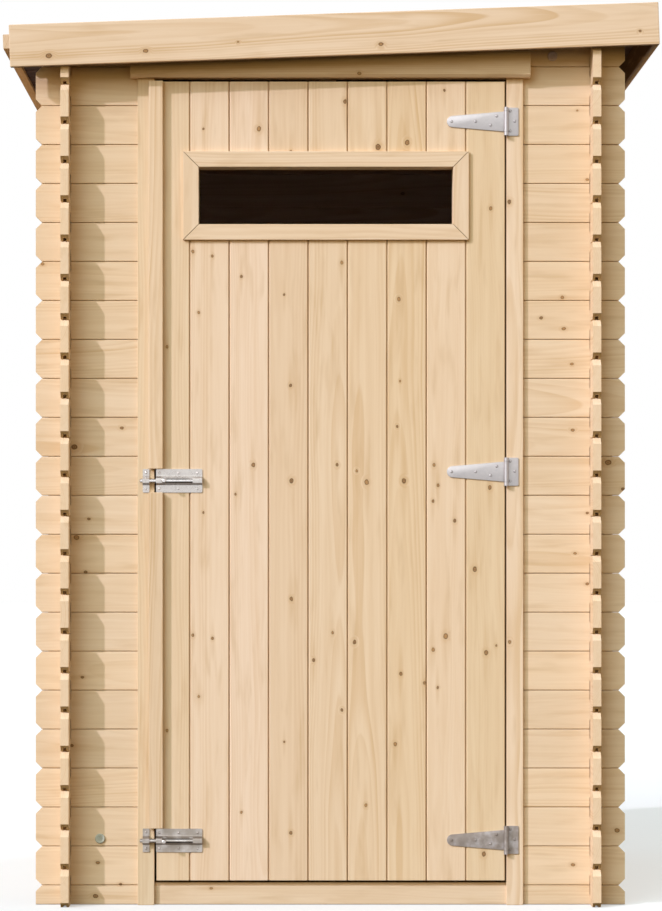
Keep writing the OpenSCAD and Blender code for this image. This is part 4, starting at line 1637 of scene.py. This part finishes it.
# %% Felt nails
CLOUT, FROM_EDGE = 8 * MM, 22 * MM
ON_LAP, ON_EDGE, ON_LOWER, ON_UPPER = 14, 12, 7, 3  # nails in a row


def nail_row(start, end, count):
    """Evenly spaced points, the first at start and the last at end."""
    return [Vector(start).lerp(Vector(end), step / (count - 1)) for step in range(count)]


x0, x1 = felt_lo[0] + FROM_EDGE, felt_hi[0] - FROM_EDGE
y0, y1 = felt_lo[1] + FROM_EDGE, felt_hi[1] - FROM_EDGE
flat_top, lap_top = bed + FELT_T, felt_hi[2]
lap_x = lap_end - LAP + FROM_EDGE
marks = nail_row((lap_x, y0, lap_top), (lap_x, y1, lap_top), ON_LAP)
for x in (x0, x1):
    marks += nail_row((x, y0, flat_top), (x, y1, flat_top), ON_EDGE)
for y in (y0, y1):
    marks += nail_row((x0 + 0.11, y, flat_top), (lap_x - 0.11, y, flat_top), ON_LOWER)
    marks += nail_row((lap_end + 0.06, y, flat_top), (x1 - 0.12, y, flat_top), ON_UPPER)
up = ROOF_PLACE.to_3x3() @ Vector((0, 0, 1))
felt_nails = fasteners("felt_nails", [ROOF_PLACE @ m for m in marks], tuple(up), CLOUT, 62, NAIL_HEAD)
finish_piece(felt_nails, "frame", "zinc", ZINC)
print(len(marks), "clout nails")

# %% [markdown]
# ## Door boards
#
# The door is made of upright boards with deeper bevels, so its joints show as darker lines. They are
# counted from the hinge side: eight whole boards, and a narrower one at the bolts.

# %% Door boards
door_lo, door_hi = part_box("door_boards")
DOOR_COVER, PLANED = 86.85 * MM, 0.3 * MM  # a board and its gap; what the first one lost at the hinges
DOOR_BEVEL, DOOR_GAP = 1.6 * MM, 2.3 * MM
door_count = int((door_hi[0] - door_lo[0]) / DOOR_COVER) + 1
window_lo, window_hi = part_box("window_trim_left")[0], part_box("window_trim_right")[1]
TRIM_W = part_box("window_trim_left")[1][0] - window_lo[0]
hole_lo = (window_lo[0] + TRIM_W, window_lo[2] + TRIM_W)
hole_hi = (window_hi[0] - TRIM_W, window_hi[2] - TRIM_W)


def door_boards():
    half = DOOR_COVER / 2
    section = board_section(-half, half, door_hi[1] - door_lo[1], bevel=DOOR_BEVEL, gap=DOOR_GAP)
    board = length_of("door_planks", [(w, t) for t, w in section], door_lo[2], door_hi[2], "z")
    board.location = (door_hi[0] + PLANED - half, (door_lo[1] + door_hi[1]) / 2, 0)
    boards = row_of(settled(board), door_count, (-DOOR_COVER, 0, 0))
    hole = block("hole", (hole_lo[0], -FAR, hole_lo[1]), (hole_hi[0], 0, hole_hi[1]))
    return cut_away(boards, beyond(0, door_lo[0], door_hi[0]) + [hole])


finish_pine(door_boards(), "door", "z", 51, "door_boards", knots=DOOR_KNOTS, wild=0.0, tones=DOOR_TONES)
print("door boards:", door_count, "window hole", [round(v, 3) for v in hole_lo + hole_hi])

# %% [markdown]
# ## Ledges
#
# Three ledges behind the boards hold the door together, one behind each hinge. Their long edges are
# rounded well, because hands and tools brush past them.

# %% Ledges
ledge_lo, ledge_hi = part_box("door_ledges")
HINGES = ("top_hinge", "middle_hinge", "bottom_hinge")
hinge_z = [middle_of(hinge + "_leaf").z for hinge in HINGES]
LEDGE_H = 2 * (ledge_hi[2] - hinge_z[0])
ledges = [block("ledge", (ledge_lo[0], ledge_lo[1], z - LEDGE_H / 2),
                (ledge_hi[0], ledge_hi[1], z + LEDGE_H / 2)) for z in hinge_z]
finish_pine(eased(joined("ledges", ledges), 2.5 * MM, 3), "door", "x", 52, "door_ledges")

# %% [markdown]
# ## Screws in the ledges
#
# Two screws hold every board to every ledge, one low and the next one high. Their heads are on the
# inside, looking into the shed.

# %% Ledge screws
LEDGE_SCREW, FROM_END = 6 * MM, 8 * MM
board_x = [door_hi[0] - (number + share) * DOOR_COVER for number in range(door_count)
           for share in (0.28, 0.72)]
ledge_points = [(x, ledge_hi[1], z + LEDGE_H * 0.26 * (1 if i % 2 else -1))
                for z in hinge_z for i, x in enumerate(board_x)
                if ledge_lo[0] + FROM_END < x < ledge_hi[0] - FROM_END]
ledge_screws = fasteners("ledge_screws", ledge_points, (0, 1, 0), LEDGE_SCREW, 63)
finish_piece(ledge_screws, "door", "zinc", ZINC)
print(len(ledge_points), "screws")

# %% [markdown]
# ## Cover strips
#
# A strip on the door's edge laps over the gap at the bolts. The middle bolt parts it in two.

# %% Cover strips
for name, node, seed in (("upper_strip", "upper_cover_strip", 53), ("lower_strip", "lower_cover_strip", 54)):
    strip = eased(block(name, *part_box(node)), 1.2 * MM)
    finish_pine(strip, "door", "z", seed, node, kind="pine_trim", wild=0.5)

# %% [markdown]
# ## Mitred frames
#
# The window has trims on the outside and a deeper frame behind the boards. Both are four lengths
# that meet in mitres, so one helper makes one side: a section pulled along the side, and its two
# ends sawn at 45 degrees by slicing planes.

# %% Mitred side
MITRE_GAP = 0.6 * MM
SIDES = (("top", "x"), ("bottom", "x"), ("left", "z"), ("right", "z"))  # and the way of the fibres
window_mid = Vector(((hole_lo[0] + hole_hi[0]) / 2, 0, (hole_lo[1] + hole_hi[1]) / 2))


def mitred_side(name, section, side, ease):
    """One side of a frame. section lists (out, y): out is measured outwards from the opening's edge."""
    half_w, half_h = (hole_hi[0] - hole_lo[0]) / 2, (hole_hi[1] - hole_lo[1]) / 2
    reach, start = (half_w, half_h) if side in ("top", "bottom") else (half_h, half_w)
    widest = max(out for out, y in section)
    made = length_of(name, [(y, start + out) for out, y in section], -reach - widest, reach + widest)
    with editing(eased(made, ease)) as bm:
        for end in (-1, 1):
            normal = Vector((end, 0, -1)).normalized()
            on_plane = Vector((end * (reach - start), 0, 0)) - normal * MITRE_GAP
            bmesh.ops.holes_fill(bm, edges=sliced(bm, on_plane, normal))
    turn = {"top": 0, "right": 90, "bottom": 180, "left": 270}[side]
    made.matrix_world = Matrix.Translation(window_mid) @ Matrix.Rotation(math.radians(turn), 4, "Y")
    return settled(made)


print("window middle:", [round(v, 4) for v in window_mid])

# %% [markdown]
# ## Window trims
#
# Four flat trims frame the window on the outside. The fibres of the upright ones run upright.

# %% Trims
trim_lo, trim_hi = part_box("window_trim_top")
trim_section = [(0, trim_lo[1]), (TRIM_W, trim_lo[1]), (TRIM_W, trim_hi[1]), (0, trim_hi[1])]
for seed, (side, fibre) in enumerate(SIDES, 55):
    finish_pine(mitred_side(side + "_trim", trim_section, side, 0.9 * MM), "door", fibre, seed,
                "window_trim_" + side, kind="pine_trim", wild=0.0, tones=[(1.0, 1.02, 1.06)])

# %% [markdown]
# ## Window frame and pane
#
# Behind the boards, a deeper frame holds the pane in a rebate along its back edge. The pane is a
# sheet of glass with its edges ground a little round.

# %% Inner frame and pane
inner_lo, inner_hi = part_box("window_inner_frame")
glass_lo, glass_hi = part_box("window_glass")
REBATE = hole_lo[0] - glass_lo[0]
inner_section = [(0, inner_lo[1]), (TRIM_W, inner_lo[1]), (TRIM_W, inner_hi[1]), (REBATE, inner_hi[1]),
                 (REBATE, glass_lo[1]), (0, glass_lo[1])]
inner_sides = []
for seed, (side, fibre) in enumerate(SIDES, 60):
    made = mitred_side("inner_" + side, inner_section, side, 0.6 * MM)
    stamp_grain(made, fibre, seed, wild=0.4)
    inner_sides.append(made)
inner_frame = joined("window_frame", inner_sides)
finish_piece(inner_frame, "door", "pine_trim", PINES["pine_trim"], "window_inner_frame")
inset = Vector((0.2, 0.05, 0.2)) * MM
pane = eased(block("pane", Vector(glass_lo) + inset, Vector(glass_hi) - inset), 0.5 * MM)
finish_piece(pane, "door", "window_glass", WINDOW_GLASS, "window_glass")

# %% [markdown]
# ## Hinge straps
#
# A T hinge has a long tapered strap on the door, whose root is rolled round the pin, and a leaf on
# the jamb. The strap is an outline with a round tip, pulled to the thickness of the plate. The roll
# is a nearly closed ring that springs from the plate, so the two are combined into one solid.

# %% Hinge strap
PLATE = 2.5 * MM
EYE_R = 2.7 * MM
ROLLED = -345  # degrees: nearly closed, and clockwise as seen from above
strap_lo, strap_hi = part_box("top_hinge_strap")
ROLL_R = (strap_hi[1] - strap_lo[1] - 0.5 * MM) / 2
PIN_X, PIN_Y = strap_hi[0] - ROLL_R, strap_lo[1] + ROLL_R
DOOR_FACE = strap_hi[1]
ROOT_H, TIP_H, STRAP_L = strap_hi[2] - strap_lo[2], 25 * MM, strap_hi[0] - ROLL_R - strap_lo[0]


def arc(centre, radius, start, end, steps):
    """Points of an arc, with its angles in degrees."""
    angles = [math.radians(start + (end - start) * step / steps) for step in range(steps + 1)]
    return [(centre[0] + radius * math.cos(a), centre[1] + radius * math.sin(a)) for a in angles]


def ring_section(start, sweep):
    """A rolled plate's section: a thick arc from the angle start, swept by sweep degrees."""
    return (arc((PIN_X, PIN_Y), ROLL_R, start, start + sweep, 30)
            + arc((PIN_X, PIN_Y), EYE_R, start + sweep, start, 30))


def eye_bore(z):
    """A cutter that opens the eye again, after a roll was combined with its plate."""
    return round_bar("bore", z - 0.1, z + 0.1, EYE_R, (PIN_X, PIN_Y, 0), "z", 30)


def hinge_strap(name, z):
    outline = [(PIN_X, z - ROOT_H / 2), (PIN_X, z + ROOT_H / 2)]
    outline += arc((PIN_X - (STRAP_L - TIP_H / 2), z), TIP_H / 2, 90, 270, 14)
    plate = eased(length_of(name, outline, DOOR_FACE - PLATE, DOOR_FACE, "y"), 0.5 * MM)
    roll = length_of("roll", ring_section(80, ROLLED), z - ROOT_H / 2, z + ROOT_H / 2, "z")
    return smooth_shaded(cut_away(combined(plate, [roll], "UNION"), [eye_bore(z)]))


for hinge, z in zip(HINGES, hinge_z):
    finish_piece(hinge_strap(hinge + "_plate", z), "door", "zinc", ZINC, hinge + "_strap")

# %% [markdown]
# ## Hinge leaves
#
# The leaf on the jamb is a smaller plate with two rolls, above and below the strap's. The pin goes
# through all three, and its ends are slightly domed where they were riveted over.

# %% Hinge leaf
leaf_lo, leaf_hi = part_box("top_hinge_leaf")
LEAF_H = leaf_hi[2] - leaf_lo[2]
JAMB_FACE = jamb_lo[1]
ROLL_H = (LEAF_H - ROOT_H) / 2 - 0.5 * MM
PIN_R = 2.5 * MM


def hinge_leaf(name, z):
    low, high = z - LEAF_H / 2, z + LEAF_H / 2
    x0 = PIN_X + ROLL_R - 2 * MM
    corner = 2.5 * MM
    outline = [(x0, low), (x0, high)]
    outline += arc((leaf_hi[0] - corner, high - corner), corner, 90, 0, 5)
    outline += arc((leaf_hi[0] - corner, low + corner), corner, 0, -90, 5)
    plate = eased(length_of(name, outline, JAMB_FACE - PLATE, JAMB_FACE, "y"), 0.5 * MM)
    for start in (low, high - ROLL_H):
        roll = length_of("roll", ring_section(20, ROLLED), start, start + ROLL_H, "z")
        web = block("web", (x0, PIN_Y, start), (x0 + 2 * MM, JAMB_FACE - 0.2 * MM, start + ROLL_H))
        roll = cut_away(combined(roll, [web], "UNION"), [eye_bore(start)])
        combined(plate, [roll], "UNION")
    dome = 0.8 * MM
    pin = [(low, 0), (low, PIN_R - dome), (low + dome, PIN_R), (high - dome, PIN_R), (high, PIN_R - dome),
           (high, 0)]
    pin = turned("pin", pin, (PIN_X, PIN_Y, 0), "z", 20)
    return joined(name, [smooth_shaded(plate), smooth_shaded(pin)])


for hinge, z in zip(HINGES, hinge_z):
    finish_piece(hinge_leaf(hinge + "_wing", z), "frame", "zinc", ZINC, hinge + "_leaf")

# %% [markdown]
# ## Hinge screws
#
# Each strap has four screws, two in a line near the tip and two staggered at the root. Each leaf has
# three, in a triangle. Their places are measured from the pin.

# %% Hinge screws
SCREW = 6.4 * MM
STRAP_SCREWS = ((-120, 0), (-67, 0), (-34, -8), (-20.5, 12))
LEAF_SCREWS = ((9.5, 23.5), (19.4, 1), (9.5, -20.5))


def from_pin(places, y):
    """The (right, up) places, in millimetres from each hinge's pin, as points at the depth y."""
    return [(PIN_X + dx * MM, y, z + dz * MM) for z in hinge_z for dx, dz in places]


def hinge_screws(name, places, face, seed, body):
    screws = fasteners(name, from_pin(places, face - PLATE), (0, -1, 0), SCREW, seed)
    finish_piece(screws, body, "zinc", ZINC)


hinge_screws("strap_screws", STRAP_SCREWS, DOOR_FACE, 71, "door")
hinge_screws("leaf_screws", LEAF_SCREWS, JAMB_FACE, 72, "frame")

# %% [markdown]
# ## Pressed bolt plates
#
# A bolt's plate is pressed from one sheet: flat flanges, and a rounded housing along the middle that
# the rod slides in. The section across the plate says it all, so the plate is one length of it. Then
# its corners are rounded by keeping only what lies inside a rounded outline.

# %% Pressed plate
FLANGE = 2 * MM
BEND, BEND_STEPS = 2.2 * MM, 10


def pressed_section(base, height, axis_y, top, z, root_half, top_half, bore_r):
    """(y, z) points across a plate: flanges on base, and a housing up to top."""
    half = height / 2
    crown = [(base - FLANGE, z - half), (base - FLANGE, z - root_half - BEND)]
    for step in range(BEND_STEPS + 1):
        share = step / BEND_STEPS
        rise = 0.5 - 0.5 * math.cos(math.pi * share)
        crown.append((base - FLANGE + (top - base + FLANGE) * rise,
                      z - root_half + (root_half - top_half) * share))
    crown += [(y, 2 * z - b) for y, b in reversed(crown)]
    hollow = [(axis_y + bore_r * math.sin(a), z + bore_r * math.cos(a))
              for a in np.linspace(math.pi * 2, math.pi, 13)]
    return crown + [(base, z + half), (base, z + bore_r)] + hollow + [(base, z - bore_r), (base, z - half)]


def rounded_outline(x0, x1, z0, z1, radius):
    """The (x, z) points of a rectangle with round corners."""
    corners = (((x1 - radius, z1 - radius), 90), ((x1 - radius, z0 + radius), 0),
               ((x0 + radius, z0 + radius), -90), ((x0 + radius, z1 - radius), -180))
    return [p for centre, start in corners for p in arc(centre, radius, start, start - 90, 5)]


def pressed_plate(name, node, corner):
    low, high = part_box(node)
    z = (low[2] + high[2]) / 2
    base = high[1]
    section = pressed_section(base, high[2] - low[2], BOLT_Y, low[1], z, *HOUSING)
    plate = length_of(name, section, low[0], high[0])
    outline = rounded_outline(low[0], high[0], low[2], high[2], corner)
    return combined(plate, [length_of("keep", outline, low[1] - 0.01, high[1] + 0.01, "y")], "INTERSECT")


ROD_R = 4 * MM
HOUSING = (10 * MM, 4.5 * MM, 4.5 * MM)  # half its width at the root and at the top, and its bore
BOLT_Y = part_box("middle_bolt_plate")[0][1] + 6 * MM
print("bolt axis", round(BOLT_Y, 4))

# %% [markdown]
# ## Bolt plates
#
# The knob travels in a slot along the housing and turns up into a notch at either end. The slot is
# cut out last. A pressed sheet's edges are only barely rounded.

# %% Bolt plates
SLOT_X, SLOT_L, SLOT_DOWN, SLOT_UP, NOTCH_W, NOTCH_UP = (v * MM for v in (-370, 67, 5, 6.5, 9, 2))
BOLTS = ("middle_bolt", "bottom_bolt")


def pressing_done(plate):
    return smooth_shaded(eased(plate, 0.25 * MM, segments=1, angle=50))


def bolt_plate(bolt):
    node = bolt + "_plate"
    plate = pressed_plate(node + "_pressing", node, 3 * MM)
    z = middle_of(node).z
    front, inside = DOOR_FACE - 0.03, BOLT_Y + 1 * MM
    end, low, high = SLOT_X + SLOT_L, z - SLOT_DOWN, z + SLOT_UP
    steps = [(SLOT_X, low), (end, low), (end, high + NOTCH_UP), (end - NOTCH_W, high + NOTCH_UP),
             (end - NOTCH_W, high), (SLOT_X + NOTCH_W, high), (SLOT_X + NOTCH_W, high + NOTCH_UP),
             (SLOT_X, high + NOTCH_UP)]
    slot = length_of("slot", steps, front, inside, "y")
    return pressing_done(cut_away(plate, [slot]))


for bolt in BOLTS:
    finish_piece(bolt_plate(bolt), "door", "zinc", BRIGHT_ZINC, bolt + "_plate")

# %% [markdown]
# ## Keepers
#
# Each keeper on the jamb is the same pressing, cut short.

# %% Keepers
def keeper(bolt):
    node = bolt + "_keeper"
    return pressing_done(pressed_plate(node + "_pressing", node, 2 * MM))


for bolt in BOLTS:
    finish_piece(keeper(bolt), "frame", "zinc", BRIGHT_ZINC, bolt + "_keeper")

# %% [markdown]
# ## Rods
#
# Each rod is turned with a bevelled tip. Its knob is a stem with a small round head, pushed into the
# rod at a right angle. Both are profiles spun round their own axes.

# %% Bolt rods
def bolt_rod(bolt):
    low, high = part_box(bolt + "_rod")
    z = middle_of(bolt + "_plate").z
    tip = 1.6 * MM
    rod = [(low[0], 0), (low[0], ROD_R - tip), (low[0] + tip, ROD_R), (high[0] - tip / 2, ROD_R),
           (high[0], ROD_R - tip / 2), (high[0], 0)]
    rod = turned(bolt + "_bar", rod, (0, BOLT_Y, z), "x", 32)
    knob_x, head_r, stem_r, soft = -366 * MM, 5 * MM, 3 * MM, 1.2 * MM
    top = low[1]
    under = top + 8 * MM
    knob = [(BOLT_Y, 0), (BOLT_Y, stem_r), (under, stem_r), (under, head_r - soft), (under - soft, head_r),
            (top + 2 * soft, head_r), (top + soft, head_r - 0.35 * soft), (top + 0.3 * soft, head_r - soft),
            (top, head_r - 2 * soft), (top, 0)]
    knob = turned("knob", knob, (knob_x, 0, z), "y", 28)
    return smooth_shaded(combined(rod, [knob], "UNION"), 40)


for bolt in BOLTS:
    finish_piece(bolt_rod(bolt), bolt, "zinc", ROD_ZINC, bolt + "_rod")

# %% [markdown]
# ## Bolt screws
#
# Three screws above and three below the housing hold each plate, and one above and one below hold
# each keeper.

# %% Bolt screws
def bolt_points(suffix, shares, lift, face):
    """Points at shares of each plate's length, lift above and below its middle."""
    points = []
    for bolt in BOLTS:
        low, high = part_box(bolt + suffix)
        z = (low[2] + high[2]) / 2
        points += [(low[0] + share * (high[0] - low[0]), face, z + side * lift)
                   for share in shares for side in (-1, 1)]
    return points


BOLT_SCREW = 5.6 * MM
plate_points = bolt_points("_plate", (0.075, 0.488, 0.897), 17.2 * MM, DOOR_FACE - FLANGE)
keeper_points = bolt_points("_keeper", (0.5,), 18 * MM, JAMB_FACE - FLANGE)
for name, points, body, seed in (("plate_screws", plate_points, "door", 73),
                                 ("keeper_screws", keeper_points, "frame", 74)):
    finish_piece(fasteners(name, points, (0, -1, 0), BOLT_SCREW, seed), body, "zinc", BRIGHT_ZINC)

# %% [markdown]
# ## Vents
#
# A vent is a round plastic cap with a collar in the wall. Its face is dished, with a rim round a bore
# that a close row of bars crosses to keep insects out. The bars are one bar, repeated.

# %% Vents
VENT_BORE_R, SPIGOT_R = 5 * MM, 8 * MM
BAR_COUNT, BAR_STEP, BAR_H = 7, 1.35 * MM, 1.1 * MM


def vent(name, node, finish):
    low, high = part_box(node)
    centre = middle_of(node)
    r, face, wall, back = (high[0] - low[0]) / 2, low[1], -WALL_Y, high[1]
    soft = 1.2 * MM
    profile = [(back, VENT_BORE_R), (back, SPIGOT_R), (wall, SPIGOT_R), (wall, r - 0.4 * MM),
               (wall - 0.5 * MM, r), (face + 1.6 * soft, r), (face + 0.7 * soft, r - 0.3 * soft),
               (face + 0.15 * soft, r - soft), (face, r - 1.8 * soft), (face + 0.1 * soft, r - 2.6 * soft),
               (face + 0.6 * soft, VENT_BORE_R + 0.6 * MM), (face + 0.8 * soft, VENT_BORE_R)]
    profile.append(profile[0])
    cap = turned(name, profile, (centre.x, 0, centre.z), "y", 40)
    first = centre.z - BAR_STEP * (BAR_COUNT - 1) / 2
    bar = block("bar", (centre.x - VENT_BORE_R, face + 0.4 * MM, first - BAR_H / 2),
                (centre.x + VENT_BORE_R, face + 2.0 * MM, first + BAR_H / 2))
    bars = row_of(bar, BAR_COUNT, (0, 0, BAR_STEP), finish)
    return finish_piece(joined(name, [smooth_shaded(cap, 50), bars]), "frame", "vent_plastic", finish, node)


vent("lower_vent", "lower_vent_cap", VENT_PLASTIC)
vent("upper_vent", "upper_vent_cap", BROWN_PLASTIC)

# %% [markdown]
# ## Studio floor
#
# The floor is plain and pale, and shows the shed's soft shadow. Light that bounces off it counts as
# if it were dark, so that the underside of the roof stays as deep as it is over grass. A Light Path
# node again tells seen rays from bounced ones. A share of plain white keeps the shadow light.

# %% Studio floor
REACH_OUT, FLOOR_DEPTH = 40, 0.02
PALE, PALER, WHITE_SHARE = (0.86, 0.86, 0.86, 1.0), (0.89, 0.89, 0.89, 1.0), 0.35
DARK_BOUNCE = (0.06, 0.038, 0.014, 1.0)


def studio_floor():
    floor = block("studio_floor", (-REACH_OUT, -REACH_OUT, -FLOOR_DEPTH), (REACH_OUT, REACH_OUT, 0))
    material = bpy.data.materials.new("studio_floor")
    material.use_nodes = True
    material.node_tree.nodes.clear()
    t = Tree(material.node_tree)
    speck = t.noise(t.place(), 3.0, 2.0)
    lit = t.node("ShaderNodeBsdfDiffuse", {"Color": t.mix(speck, PALE, PALER)})
    white = t.node("ShaderNodeEmission", {"Color": WHITE, "Strength": 1.0})
    seen = t.node("ShaderNodeMixShader", {0: WHITE_SHARE, 1: lit.outputs[0], 2: white.outputs[0]})
    bounced = t.node("ShaderNodeBsdfDiffuse", {"Color": DARK_BOUNCE})
    both = t.node("ShaderNodeMixShader", {0: clear_view(t), 1: bounced.outputs[0], 2: seen.outputs[0]})
    t.node("ShaderNodeOutputMaterial", {"Surface": both.outputs[0]})
    floor.data.materials.append(material)
    return floor


studio_floor()
print("studio floor:", 2 * REACH_OUT, "metres wide")
